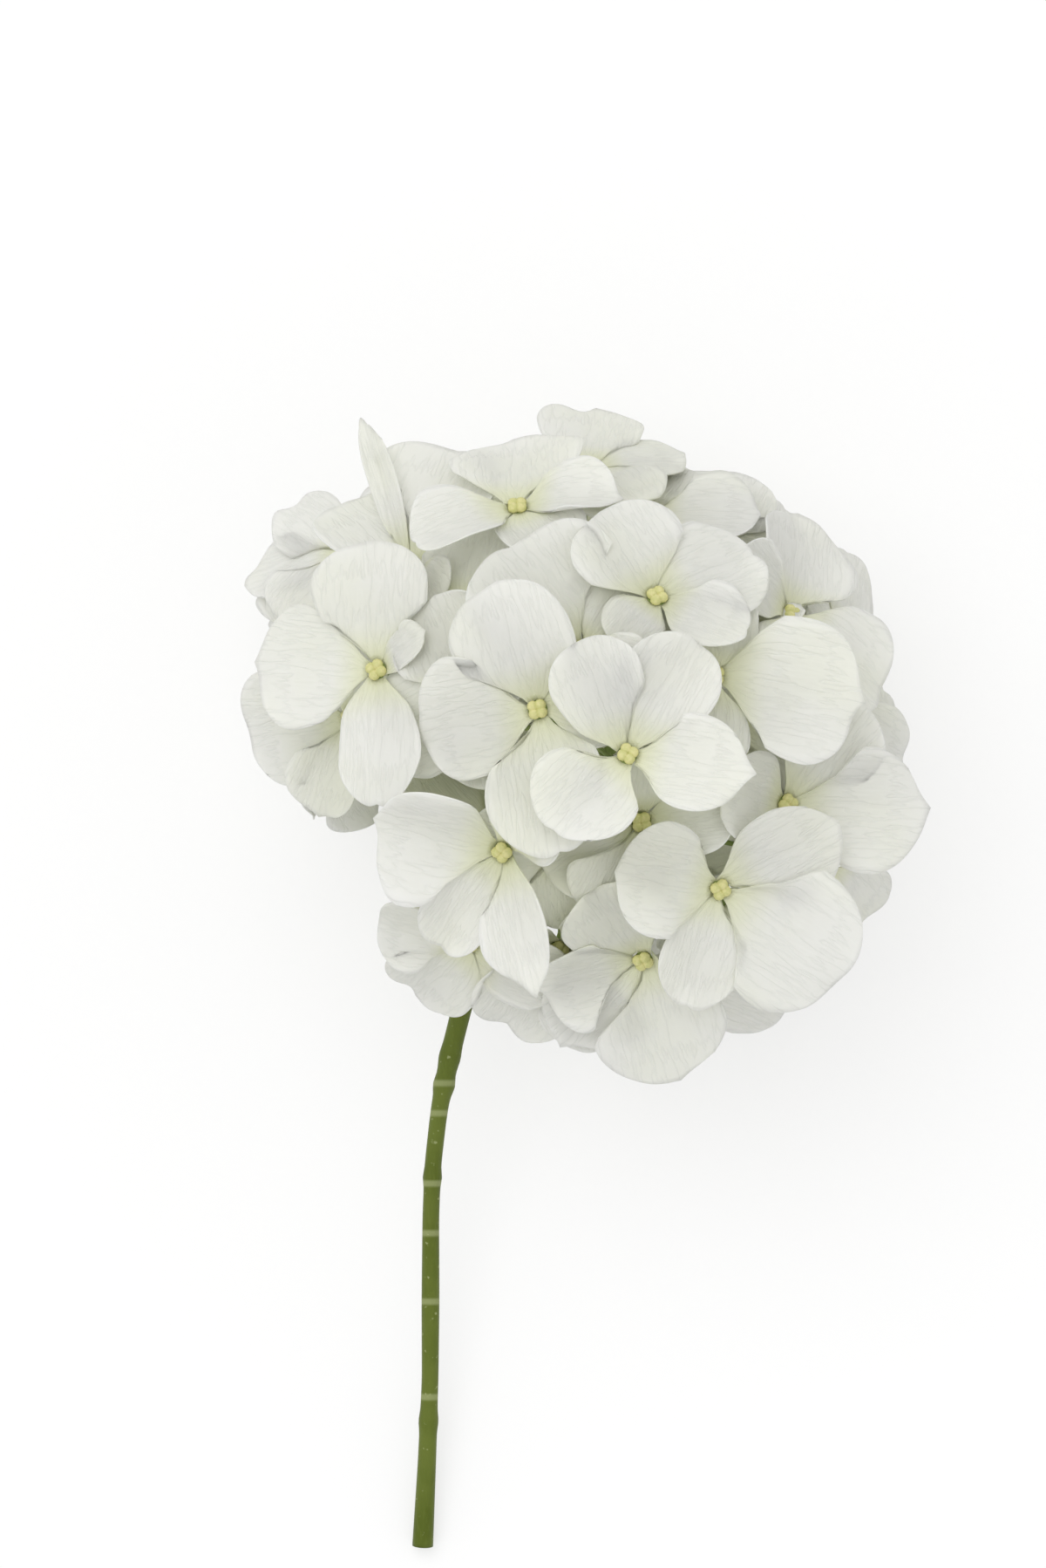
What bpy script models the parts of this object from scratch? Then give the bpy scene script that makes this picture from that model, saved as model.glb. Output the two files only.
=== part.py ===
"""A cut hydrangea lying on a flat surface: one stem, seven rays and a ball of four-petalled florets.

World frame: metres, +Z up, +Y from the cut end of the stem towards the flower head.
Inside the layout functions every length is in millimetres, measured from the centre of the head.
"""

import math
import random
from dataclasses import dataclass, field

import bmesh
import bpy
import numpy as np
from mathutils import Vector
from mathutils.bvhtree import BVHTree

MM = 0.001

PETAL_COLOUR = (0.82, 0.83, 0.78)
PETAL_ROUGHNESS = 0.6
STEM_COLOUR = (0.13, 0.17, 0.04)
RAY_COLOUR = (0.25, 0.32, 0.10)
STALK_ROUGHNESS = 0.5

# Head and surface
CORE_RADIUS = 56.0  # hubs of the innermost florets, from the centre of the head
LEVEL_STEP = 3.6  # one level further out
FLOOR_DEPTH = 53.0  # the surface lies this far under the centre of the head

# Petals (the showy sepals)
PETAL_SHEET = 0.5  # thickness of a petal
PETAL_ASPECT = 0.53  # half width over length
WAIST = 0.34  # width at the hub, as a share of the widest
TIP_POINT = (-0.05, 0.09)  # how far a tip is notched or drawn out, as a share of the length
SHOULDER = 0.64  # how quickly a petal widens: the less, the sooner
WIDEST_AT = 0.56  # share of the length where a petal is widest
HUB_RADIUS = 2.3
HUB_HEIGHT = 2.0  # of the bud over the petals
CALYX_DEPTH = 2.6
SECTOR_UNTIL = -0.5  # a petal keeps to its own sector up to here, and may lie over its neighbour beyond
SECTOR_GROWTH = 2.0
SECTOR_GAP = 0.45  # between a petal and the edge of its sector, from the first row outwards
PETAL_ROWS = (-1.0, -0.5, 0.2, 1.0)
PETAL_COLUMNS = (-1.0, 0.0, 1.0)

# Settling of the petals against each other
GAP = 1.7  # between the middle sheets of two petals
SETTLE_ROWS = 7
SETTLE_COLUMNS = 5
SETTLE_ROUNDS = 36
SETTLE_REACH = 14.0
MOST_LIFT = 13.0
MOST_SLOPE = 0.75  # of a petal's lift over its run from the hub
CALM = 0.6  # how far a point of a petal may end up from the middle of its neighbours
CALM_ROUNDS = 6
TRIM_ROUNDS = 26
TRIM_SHARE = 0.94
FLATTEN = 0.85  # share of its lift kept, each round, by a petal that crosses the next one of its floret

# Stalks
PEDICEL_RADIUS = 0.62
PEDICEL_STATIONS = 4
PEDICEL_ROOM = 0.25
PEDICEL_LEANS = (0.25, 0.45)
RAY_SHARES = (1.0, 0.9, 0.8, 0.7, 0.6, 0.5, 0.4)
CROSSING_COST = 30.0  # in millimetres of extra stalk
STALK_CROSSING_COST = 60.0
RAY_RADIUS = 1.35
RAY_SIDES = 6
RAY_STATIONS = 5
JOINT_CLEARANCE = 0.4
FORK = (-7.0, -13.0, -6.0)  # where the stem divides into rays
FORK_RADIUS = 3.6

STEM_SIDES = 12
STEM_ROUTE = (
    # x, y, height over the surface, radius
    (-36.4, -187.4, 2.5, 2.45),
    (-35.4, -168.0, 6.2, 2.15),
    (-34.6, -148.0, 10.1, 1.95),
    (-34.5, -130.0, 13.8, 2.1),
    (-34.4, -110.0, 17.9, 1.95),
    (-33.9, -98.0, 20.5, 1.95),
    (-32.4, -85.0, 23.6, 2.0),
    (-30.0, -73.0, 26.8, 2.3),
    (-27.0, -61.0, 30.3, 2.35),
    (-22.0, -45.0, 35.5, 2.3),
    (-15.0, -28.0, 41.6, 2.3),
    (-8.6, -16.0, 45.9, 2.4),
)
STEM_NODES = ((-158.0, 0.28), (-101.0, 0.3), (-79.5, 0.45), (-73.0, 0.3))


@dataclass
class Floret:
    """One four-petalled flower: its hub in the plane of the head, and how it faces."""

    x: float
    y: float
    level: float
    facing: tuple
    petals: tuple
    rise: float = 14.0
    curl: float = -22.0
    cup: float = 0.0
    behind: bool = False
    name: str = ""
    hub: np.ndarray = None
    axis: np.ndarray = None
    lift: float = 0.0
    parts: list = field(default_factory=list)


def cross(start, length=25.0, spread=(0, 90, 180, 270)):
    """Four petals a quarter turn apart."""
    return tuple((start + turn, length, 1.0) for turn in spread)


# Florets seen from above, from the middle of the head outwards.
# A petal is (direction in degrees, length, width against the usual one).
FACE_FLORETS = (
    Floret(10.4, -3.2, 3.3, (0.05, 0.28),
        ((114, 26, 0.8), (62, 29, 0.74), (-13, 25, 0.9), (-132, 23, 1.0)), 20, -16),
    Floret(-9.8, 7.0, 2.4, (-0.15, 0.08),
        ((190, 25, 1.1), (107, 28, 0.9), (-80, 31, 0.85), (12, 22, 1.0)), 14, -24),
    Floret(31.4, -33.4, 3.0, (0.22, -0.25),
        ((166, 24, 1.05), (27, 27, 0.85), (-35, 33, 0.9), (-106, 25, 0.8)), 12, -16),
    Floret(-45.0, 15.6, 2.8, (-0.28, 0.10),
        ((174, 27, 1.05), (92, 28, 0.95), (-84, 29, 0.65), (28, 12, 0.7)), 14, -22),
    Floret(30.0, 14.6, 2.2, (0.32, 0.12),
        ((-9, 31, 1.0), (84, 20, 0.9), (182, 20, 0.9), (-96, 24, 0.7)), 12, -18),
    Floret(-52.0, 5.0, 0.9, (-0.50, -0.15),
        ((194, 27, 0.95), (-108, 21, 0.9), (80, 20, 0.9), (0, 20, 0.9)), 12, -18),
    Floret(34.4, 3.6, 0.4, (0.40, -0.20),
        ((-76, 26, 0.8), (-20, 27, 0.9), (100, 18, 1.0), (190, 18, 1.0)), 16, -16),
    Floret(14.0, -18.6, 0.9, (0.0, -0.20),
        ((206, 24, 1.0), (-112, 23, 0.9), (8, 24, 0.9), (95, 16, 1.0)), 18, -20),
    Floret(-17.6, -25.0, 1.9, (-0.30, -0.35),
        ((164, 27, 0.9), (240, 25, 0.62), (-68, 27, 0.58), (50, 19, 0.9)), 26, -24, 0.34),
    Floret(0.4, 20.6, 2.3, (-0.05, 0.42),
        ((124, 29, 1.2), (62, 22, 1.0), (-20, 14, 0.8), (-150, 14, 0.8)), 22, -36, 0.12),
    Floret(17.0, 32.0, 2.35, (0.15, 0.50),
        ((128, 21, 1.15), (30, 25, 0.95), (-24, 22, 0.7), (-125, 14, 1.0)), 20, -30),
    Floret(-14.2, 52.6, 2.4, (-0.10, 0.76),
        ((92, 22, 1.25), (-8, 21, 0.9), (-66, 21, 0.85), (214, 25, 0.8)), 14, -22, 0.2),
    Floret(-38.6, 39.0, 2.2, (-0.20, 0.60),
        ((130, 25, 0.9), (72, 33, 0.85), (103, 38, 0.17), (-60, 14, 0.8)), 24, -28, 0.2),
    Floret(-53.0, 44.0, 1.0, (-0.50, 0.50),
        ((184, 23, 0.75), (135, 19, 0.9), (232, 22, 1.0), (20, 20, 1.0)), 16, -22),
    Floret(-63.0, 25.0, 0.6, (-0.72, 0.05),
        ((206, 20, 0.9), (112, 18, 1.0), (300, 18, 1.0), (25, 16, 1.0)), 16, -18),
    Floret(-27.0, 30.0, 1.2, (-0.25, 0.40),
        ((80, 21, 1.1), (160, 16, 0.9), (-120, 15, 1.0), (-20, 16, 1.0)), 20, -24),
    Floret(-25.0, 10.0, 1.6, (-0.35, 0.05),
        ((112, 26, 0.95), (205, 24, 1.0), (-70, 20, 0.9), (20, 11, 1.0)), 14, -22),
    Floret(1.4, 60.0, 1.4, (0.00, 0.88),
        ((165, 22, 1.0), (85, 23, 1.0), (-66, 24, 0.9), (10, 20, 1.0)), 16, -20),
    Floret(13.6, 52.0, 1.2, (0.25, 0.74),
        ((66, 26, 1.0), (-4, 24, 1.0), (-84, 24, 1.0), (168, 18, 1.0)), 18, -20),
    Floret(28.0, 45.0, 0.8, (0.42, 0.66),
        ((74, 27, 0.95), (0, 24, 1.0), (-85, 22, 1.0), (165, 18, 1.0)), 18, -22),
    Floret(39.0, 40.0, 0.2, (0.62, 0.60),
        ((72, 25, 0.9), (0, 22, 0.9), (-90, 24, 1.0), (165, 18, 1.0)), 18, -22),
    Floret(36.0, 27.0, 0.9, (0.50, 0.42),
        ((65, 24, 1.0), (-20, 22, 1.0), (150, 22, 1.0), (-110, 18, 1.0)), 24, -24),
    Floret(47.0, 28.0, 1.7, (0.68, 0.36),
        ((84, 26, 1.0), (-24, 27, 1.0), (162, 18, 1.0), (-100, 22, 1.0)), 14, -18),
    Floret(59.0, 22.0, 0.9, (0.90, 0.28),
        ((10, 24, 0.8), (100, 22, 0.9), (190, 20, 1.0), (-80, 24, 1.0)), 18, -20),
    Floret(46.4, -14.2, 2.0, (0.50, -0.10),
        ((-4, 30, 0.9), (52, 26, 0.95), (-92, 24, 1.0), (165, 20, 0.9)), 14, -18),
    Floret(56.0, 3.0, 1.0, (0.82, 0.10),
        ((66, 26, 1.0), (-10, 24, 0.9), (160, 20, 1.0), (-110, 20, 1.0)), 16, -20),
    Floret(56.0, -30.0, 1.3, (0.84, -0.36),
        ((20, 23, 1.0), (-62, 25, 0.9), (110, 22, 1.0), (200, 22, 1.0)), 16, -20),
    Floret(-3.0, -24.0, 0.3, (-0.10, -0.40),
        ((-84, 24, 0.9), (180, 20, 1.0), (90, 16, 1.0), (5, 20, 1.0)), 22, -22),
    Floret(-25.0, -45.0, 1.0, (-0.30, -0.62),
        ((174, 19, 1.05), (238, 22, 0.9), (-10, 24, 0.9), (90, 20, 1.0)), 16, -20),
    Floret(-5.0, -48.0, 0.9, (-0.08, -0.70),
        ((-116, 25, 0.9), (-64, 26, 0.7), (150, 20, 1.0), (40, 20, 1.0)), 20, -22, 0.15),
    Floret(14.0, -49.0, 2.0, (0.02, -0.60),
        ((194, 22, 0.95), (-128, 25, 0.9), (-74, 29, 1.0), (118, 22, 1.0)), 16, -20),
    Floret(27.0, -52.0, 0.7, (0.35, -0.78),
        ((-36, 24, 0.9), (-100, 22, 1.0), (50, 20, 1.0), (150, 20, 1.0)), 20, -20),
    Floret(16.0, 17.0, 0.2, (0.10, 0.40),
        ((88, 24, 1.0), (178, 20, 1.0), (10, 22, 1.0), (-90, 16, 1.0)), 22, -20),
    Floret(-19.0, 54.0, 0.4, (-0.20, 0.92),
        ((150, 24, 0.9), (70, 24, 0.9), (-30, 20, 1.0), (240, 20, 1.0)), 24, -20),
)

# Florets turned away from above: direction round the head in degrees and petal length.
RIM_FLORETS = (
    (-80.0, 22.0),
    (-47.0, 23.0),
    (-12.0, 23.0),
    (20.0, 22.0),
    (50.0, 22.0),
    (82.0, 21.0),
    (115.0, 22.0),
    (148.0, 22.0),
    (180.0, 20.0),
    (230.0, 12.0),
)
RIM_ELEVATION = -24.0
RIM_LEVELS = (0.8, -0.2)
UNDER_DIRECTIONS = (-50.0, 5.0, 62.0, 122.0, 176.0, 226.0)
UNDER_ELEVATION = -54.0
UNDER_LEVEL = -1.0
BASE_LEVEL = -2.6
BASE_DIRECTION = 70.0
BASE_ELEVATION = -84.0

# A floret on the side away from the stem's bend, under the edge of those above.
SIDE_FLORETS = (
    Floret(52.2, -15.0, 0.0, (0.93, -0.27),
        ((45, 20, 1.0), (135, 20, 1.0), (225, 20, 1.0), (315, 20, 1.0)), 16, -20),
)

RAY_TIPS = (
    (-36.0, 22.0, 4.0),
    (-2.0, 38.0, 10.0),
    (34.0, 18.0, 4.0),
    (24.0, -22.0, 8.0),
    (0.0, 4.0, 30.0),
    (-9.0, -27.0, 14.0),
    (6.0, 8.0, -26.0),
)


def unit(vector):
    """The vector at length one."""
    return vector / np.linalg.norm(vector)


def spherical(direction, elevation):
    """Unit vector from two angles in degrees."""
    turn, up = math.radians(direction), math.radians(elevation)
    return np.array((math.cos(turn) * math.cos(up), math.sin(turn) * math.cos(up), math.sin(up)))


@dataclass
class Petal:
    """One petal of a floret, with everything its surface needs."""

    owner: Floret
    angle: float
    left: float
    right: float
    length: float
    half_width: float
    rise: float
    curl: float
    channel: float
    twist: float
    order: float
    point: float
    size: float = 1.0
    lifts: np.ndarray = None


def hub_of(floret):
    """Where the floret's petals meet."""
    radius = CORE_RADIUS + LEVEL_STEP * floret.level
    flat = math.hypot(floret.x, floret.y)
    height = math.sqrt(max(radius**2 - flat**2, 0.0))
    return np.array((floret.x, floret.y, -height if floret.behind else height))


def hidden_floret(direction, elevation, level, length, start):
    """A floret that faces straight out of the head, placed by its direction."""
    way = spherical(direction, elevation)
    hub = way * (CORE_RADIUS + LEVEL_STEP * level)
    return Floret(hub[0], hub[1], level, (way[0], way[1]), cross(start, length), behind=True)


def all_florets():
    """Every floret, named from the top of the head to its underside."""
    florets = list(FACE_FLORETS)
    for count, (direction, length) in enumerate(RIM_FLORETS):
        level = RIM_LEVELS[count % 2]
        florets.append(hidden_floret(direction, RIM_ELEVATION, level, length, 40.0 * count))
    for count, direction in enumerate(UNDER_DIRECTIONS):
        florets.append(hidden_floret(direction, UNDER_ELEVATION, UNDER_LEVEL, 22.0, 25.0 * count))
    florets.append(hidden_floret(BASE_DIRECTION, BASE_ELEVATION, BASE_LEVEL, 20.0, 45.0))
    florets += SIDE_FLORETS
    for count, floret in enumerate(florets, start=1):
        floret.name = f"floret_{count:02d}"
        floret.hub = hub_of(floret)
        across = math.hypot(*floret.facing)
        depth = math.sqrt(max(1.0 - across**2, 0.0))
        floret.axis = unit(np.array((*floret.facing, -depth if floret.behind else depth)))
    return florets


def dress_with_petals(florets, seed=7):
    """Gives each floret its petals, each a little different from the next."""
    chance = random.Random(seed)
    tips = random.Random(seed + 2)
    petals = []
    for rank, floret in enumerate(florets):
        turns = sorted(floret.petals, key=lambda petal: petal[0] % 360)
        angles = [angle % 360 for angle, _, _ in turns]
        for count, (angle, length, width) in enumerate(turns):
            before = (angles[count] - angles[count - 1]) % 360 / 2
            after = (angles[(count + 1) % len(turns)] - angles[count]) % 360 / 2
            inner = count % 2
            petal = Petal(
                owner=floret,
                angle=angle,
                left=after,
                right=before,
                length=length * chance.uniform(0.96, 1.04),
                half_width=length * width * PETAL_ASPECT * chance.uniform(0.97, 1.05),
                rise=floret.rise + (5.0 if inner else -4.0) + chance.uniform(-2, 2),
                curl=floret.curl + chance.uniform(-6, 6),
                channel=floret.cup + chance.uniform(0.0, 0.36),
                twist=chance.uniform(-9, 9),
                order=floret.level + 0.002 * rank + (0.3 if inner else 0.0),
                point=tips.uniform(*TIP_POINT),
                lifts=np.zeros((SETTLE_ROWS, SETTLE_COLUMNS)),
            )
            floret.parts.append(petal)
            petals.append(petal)
    return petals


def frame_of(floret):
    """Two directions across the floret's axis: the first is the way of an angle of zero."""
    first = unit(np.array((1.0, 0.0, 0.0)) - floret.axis[0] * floret.axis)
    return first, np.cross(floret.axis, first)


def outline(petal, p, q):
    """(along, across) of a point of the flat petal, as shares of its length and half width."""
    if p <= 0:
        waist = WAIST + (1 - WAIST) * math.sin((1 + p) * math.pi / 2) ** SHOULDER
        return WIDEST_AT * (1 + p), q * waist
    along = p * math.sqrt(1 - q * q / 2)
    return WIDEST_AT + (1 - WIDEST_AT) * along, q * math.sqrt(1 - p * p / 2)


def petal_point(petal, p, q):
    """A point of the petal's middle sheet: p runs from -1 at the hub to 1 at the tip, q from side to side."""
    floret = petal.owner
    first, second = frame_of(floret)
    turn = math.radians(petal.angle)
    out = math.cos(turn) * first + math.sin(turn) * second
    side = np.cross(floret.axis, out)
    along, across = outline(petal, p, q)
    length = petal.length * petal.size
    tip = max(0.0, p) ** 3 * max(0.0, 1 - 2 * abs(q)) ** 2
    run = (along + petal.point * tip) * length
    offset = across * petal.half_width * petal.size
    share = petal.left if q > 0 else petal.right
    spread = 1 + SECTOR_GROWTH * max(0.0, p - SECTOR_UNTIL)
    room = (HUB_RADIUS + run) * math.tan(math.radians(min(share, 50.0))) * spread - SECTOR_GAP * min(1.0, 2 * (p + 1))
    offset = math.copysign(min(abs(offset), room), offset)
    bend = math.radians(petal.curl) / length
    start = math.radians(petal.rise)
    slope = start + bend * run
    reach = (math.sin(slope) - math.sin(start)) / bend
    height = rise_only = (math.cos(start) - math.cos(slope)) / bend
    height += petal.channel * offset * offset / petal.half_width
    height += math.sin(math.radians(petal.twist) * along) * offset
    point = floret.hub + (HUB_RADIUS + reach) * out + offset * side + height * floret.axis
    fade = max(0.0, 1 - (p + 1) / 0.5) ** 2
    if fade > 0:
        lean = math.radians(petal.angle + q * share)
        rim = floret.hub + HUB_RADIUS * (math.cos(lean) * first + math.sin(lean) * second)
        base = floret.hub + HUB_RADIUS * out + offset * side + (height - rise_only) * floret.axis
        point = point + fade * (rim - base)
    return point


def sampled(petal, rows, columns):
    """Grid of points of the unsettled petal."""
    return np.array([[petal_point(petal, p, q) for q in columns] for p in rows])


def lift_at(petal, p, q):
    """How far the settling moved this point away from the centre of the head."""
    row = (p + 1) / 2 * (SETTLE_ROWS - 1)
    column = (q + 1) / 2 * (SETTLE_COLUMNS - 1)
    i = min(int(row), SETTLE_ROWS - 2)
    j = min(int(column), SETTLE_COLUMNS - 2)
    u, v = row - i, column - j
    grid = petal.lifts
    near = grid[i, j] * (1 - v) + grid[i, j + 1] * v
    far = grid[i + 1, j] * (1 - v) + grid[i + 1, j + 1] * v
    return near * (1 - u) + far * u


def settled_point(petal, p, q):
    """A point of the petal's middle sheet as it lies among its neighbours."""
    point = petal_point(petal, p, q)
    return point + unit(point) * lift_at(petal, p, q)


def neighbours(grid):
    """For each value of a grid, the middle value of the four around it."""
    wide = np.pad(grid, 1, mode="edge")
    return (wide[:-2, 1:-1] + wide[2:, 1:-1] + wide[1:-1, :-2] + wide[1:-1, 2:]) / 4


def smoothed(grid):
    """The grid with each value drawn towards its neighbours."""
    return 0.55 * grid + 0.45 * neighbours(grid)


def settle(florets, petals):
    """Moves the petals in and out until each lies clear of those above and below it and of the surface."""
    rows = np.linspace(-1, 1, SETTLE_ROWS)
    columns = np.linspace(-1, 1, SETTLE_COLUMNS)
    rest = [sampled(petal, rows, columns) for petal in petals]
    ways = [grid / np.linalg.norm(grid, axis=2, keepdims=True) for grid in rest]
    size = SETTLE_ROWS * SETTLE_COLUMNS
    faces = []
    for count in range(len(petals)):
        for i in range(SETTLE_ROWS - 1):
            for j in range(SETTLE_COLUMNS - 1):
                corner = count * size + i * SETTLE_COLUMNS + j
                other = corner + SETTLE_COLUMNS
                faces.append((corner, corner + 1, other + 1))
                faces.append((corner, other + 1, other))
    per_petal = 2 * (SETTLE_ROWS - 1) * (SETTLE_COLUMNS - 1)
    middle = Vector((0, 0, 0))
    for _ in range(SETTLE_ROUNDS):
        places = [grid + way * petal.lifts[..., None] for grid, way, petal in zip(rest, ways, petals)]
        tree = BVHTree.FromPolygons(np.concatenate(places).reshape(-1, 3).tolist(), faces, all_triangles=True)
        for count, petal in enumerate(petals):
            push = np.zeros((SETTLE_ROWS, SETTLE_COLUMNS))
            for i in range(1, SETTLE_ROWS):
                for j in range(SETTLE_COLUMNS):
                    way = ways[count][i, j]
                    radius = float(np.dot(places[count][i, j], way))
                    push[i, j] = push_on(petals, petal, tree, middle, Vector(way), radius, i, per_petal)
            most = np.minimum(MOST_LIFT, MOST_SLOPE * petal.length * WIDEST_AT * (1 + rows))[:, None]
            lift = petal.owner.lift
            petal.lifts = np.clip(smoothed(petal.lifts + push), lift - most, lift + most)
        for floret in florets:
            floret.lift = float(np.mean([petal.lifts[:2].mean() for petal in floret.parts]))
            for petal in floret.parts:
                petal.lifts[0] = floret.lift
    for petal in petals:
        for _ in range(CALM_ROUNDS):
            around = neighbours(petal.lifts)
            petal.lifts[1:] = np.clip(petal.lifts, around - CALM, around + CALM)[1:]


def push_on(petals, petal, tree, middle, way, radius, row, per_petal):
    """How far one point has to move out (or in, below zero) to clear the sheets over and under it."""
    out = inward = 0.0
    start = max(radius - SETTLE_REACH, 1.0)
    travelled = start
    while travelled < radius + SETTLE_REACH:
        left = radius + SETTLE_REACH - travelled
        hit, _, index, distance = tree.ray_cast(middle + way * travelled, way, left)
        if hit is None:
            break
        travelled += distance + 0.01
        other = petals[index // per_petal]
        if other is petal:
            continue
        gap = GAP
        if other.owner is petal.owner:
            gap = GAP * min(1.0, max(0.0, (row - 2) / 2.0))
            if gap == 0.0:
                continue
        if petal.order > other.order:
            out = max(out, travelled + gap - radius)
        else:
            inward = max(inward, radius - (travelled - gap))
    push = 0.5 * (out - inward)
    if way.z < -0.05:
        surface = (FLOOR_DEPTH - PETAL_SHEET) / -way.z
        push = min(push, surface - radius)
    return push


def bezier(a, b, c, d, count):
    """Points along a cubic curve, both ends among them."""
    steps = np.linspace(0, 1, count)[:, None]
    rest = 1 - steps
    return rest**3 * a + 3 * rest**2 * steps * b + 3 * rest * steps**2 * c + steps**3 * d


def tube_rings(route, radii, sides, first=None, angles=None):
    """Rings of points round a route, turned as little as possible from one to the next."""
    tangents = np.gradient(route, axis=0)
    if first is None:
        first = np.cross(tangents[0], (0.31, 0.17, 0.94))
    if angles is None:
        angles = np.arange(sides) * 2 * math.pi / sides
    rings = []
    for point, tangent, radius in zip(route, tangents, radii):
        way = unit(tangent)
        first = unit(first - np.dot(first, way) * way)
        second = np.cross(way, first)
        rings.append([point + radius * (math.cos(turn) * first + math.sin(turn) * second) for turn in angles])
    return rings


@dataclass
class Shell:
    """Points and triangles of one closed body; each triangle remembers the petal it is part of."""

    points: list = field(default_factory=list)
    faces: list = field(default_factory=list)
    parts: list = field(default_factory=list)
    hub_points: set = field(default_factory=set)

    def add(self, points):
        """Stores points and returns their numbers."""
        start = len(self.points)
        self.points.extend(tuple(point) for point in points)
        return list(range(start, len(self.points)))

    def quad(self, a, b, c, d, part=None):
        """Two triangles."""
        self.faces += [(a, b, c), (a, c, d)]
        self.parts += [part, part]

    def fan(self, centre, ring, part=None):
        """Triangles from one point to every edge of a closed ring."""
        for k, corner in enumerate(ring):
            self.faces.append((centre, corner, ring[(k + 1) % len(ring)]))
            self.parts.append(part)

    def sleeve(self, lower, upper, part=None):
        """Side wall between two rings that both turn the right-hand way round the direction of travel."""
        for k in range(len(lower)):
            n = (k + 1) % len(lower)
            self.quad(lower[k], lower[n], upper[n], upper[k], part)


def tube_shell(route, radii, sides):
    """A closed tube."""
    shell = Shell()
    rings = [shell.add(ring) for ring in tube_rings(route, radii, sides)]
    for lower, upper in zip(rings, rings[1:]):
        shell.sleeve(lower, upper)
    start, end = shell.add([route[0], route[-1]])
    shell.fan(start, rings[0][::-1])
    shell.fan(end, rings[-1])
    return shell


def petal_sheets(petal):
    """Face side and back of a petal, as two grids of points."""
    middle = np.array([[settled_point(petal, p, q) for q in PETAL_COLUMNS] for p in PETAL_ROWS])
    middle[..., 2] = np.maximum(middle[..., 2], PETAL_SHEET / 2 - FLOOR_DEPTH)
    normals = np.cross(np.gradient(middle, axis=0), np.gradient(middle, axis=1))
    normals /= np.linalg.norm(normals, axis=2, keepdims=True)
    normals[0] = petal.owner.axis
    face = middle + PETAL_SHEET / 2 * normals
    back = middle - PETAL_SHEET / 2 * normals
    face[..., 2] = np.maximum(face[..., 2], -FLOOR_DEPTH)
    back[..., 2] = np.maximum(back[..., 2], -FLOOR_DEPTH)
    return face, back


def settled_hub(floret):
    """The hub where the settling left it."""
    return floret.hub + unit(floret.hub) * floret.lift


def floret_shell(floret, route):
    """One closed body: petals, bud, calyx and stalk."""
    shell = Shell()
    rows, columns = len(PETAL_ROWS), len(PETAL_COLUMNS)
    sheets = [petal_sheets(petal) for petal in floret.parts]
    corners = [shell.add([face[0, -1], back[0, -1]]) for face, back in sheets]
    faces_ring, backs_ring, ring_angles = [], [], []
    for k, (petal, (face, back)) in enumerate(zip(floret.parts, sheets)):
        face_ids = [[None] * columns for _ in range(rows)]
        back_ids = [[None] * columns for _ in range(rows)]
        face_ids[0][0], back_ids[0][0] = corners[k - 1]
        face_ids[0][-1], back_ids[0][-1] = corners[k]
        for i in range(rows):
            for j in range(columns):
                if face_ids[i][j] is None:
                    face_ids[i][j], back_ids[i][j] = shell.add([face[i, j], back[i, j]])
        for i in range(rows - 1):
            for j in range(columns - 1):
                near, far = face_ids[i][j : j + 2], face_ids[i + 1][j : j + 2]
                shell.quad(near[0], far[0], far[1], near[1], petal)
                near, far = back_ids[i][j : j + 2], back_ids[i + 1][j : j + 2]
                shell.quad(near[0], near[1], far[1], far[0], petal)
            shell.quad(face_ids[i][0], back_ids[i][0], back_ids[i + 1][0], face_ids[i + 1][0], petal)
            shell.quad(face_ids[i][-1], face_ids[i + 1][-1], back_ids[i + 1][-1], back_ids[i][-1], petal)
        for j in range(columns - 1):
            shell.quad(face_ids[-1][j], back_ids[-1][j], back_ids[-1][j + 1], face_ids[-1][j + 1], petal)
        for j in range(columns - 1):
            faces_ring.append(face_ids[0][j])
            backs_ring.append(back_ids[0][j])
            share = petal.right if PETAL_COLUMNS[j] < 0 else petal.left
            ring_angles.append(math.radians(petal.angle + PETAL_COLUMNS[j] * share))
    bud = shell.add([settled_hub(floret) + HUB_HEIGHT * floret.axis])[0]
    shell.hub_points = set(faces_ring + backs_ring + [bud])
    shell.fan(bud, faces_ring)
    stalk_faces(shell, floret, route, backs_ring, ring_angles)
    return shell


def stalk_faces(shell, floret, route, ring, ring_angles):
    """Calyx and stalk, from the backs of the petals down to the end of the stalk."""
    radii = [PEDICEL_RADIUS * 1.7] + [PEDICEL_RADIUS] * (len(route) - 1)
    first, _ = frame_of(floret)
    mirrored = [-angle for angle in ring_angles]
    for points in tube_rings(route, radii, len(ring), first, mirrored):
        below = shell.add(points)
        shell.sleeve(below, ring)
        ring = below
    end = shell.add([route[-1]])[0]
    shell.fan(end, ring[::-1])


@dataclass
class Ray:
    """A branch from the top of the stem into the head."""

    name: str
    route: np.ndarray
    radii: np.ndarray

    def place(self, share):
        """Point, direction and radius at a share of the ray's length."""
        at = share * (len(self.route) - 1)
        low = min(int(at), len(self.route) - 2)
        rest = at - low
        point = self.route[low] * (1 - rest) + self.route[low + 1] * rest
        radius = float(np.interp(at, range(len(self.radii)), self.radii))
        return point, unit(self.route[low + 1] - self.route[low]), radius


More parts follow.
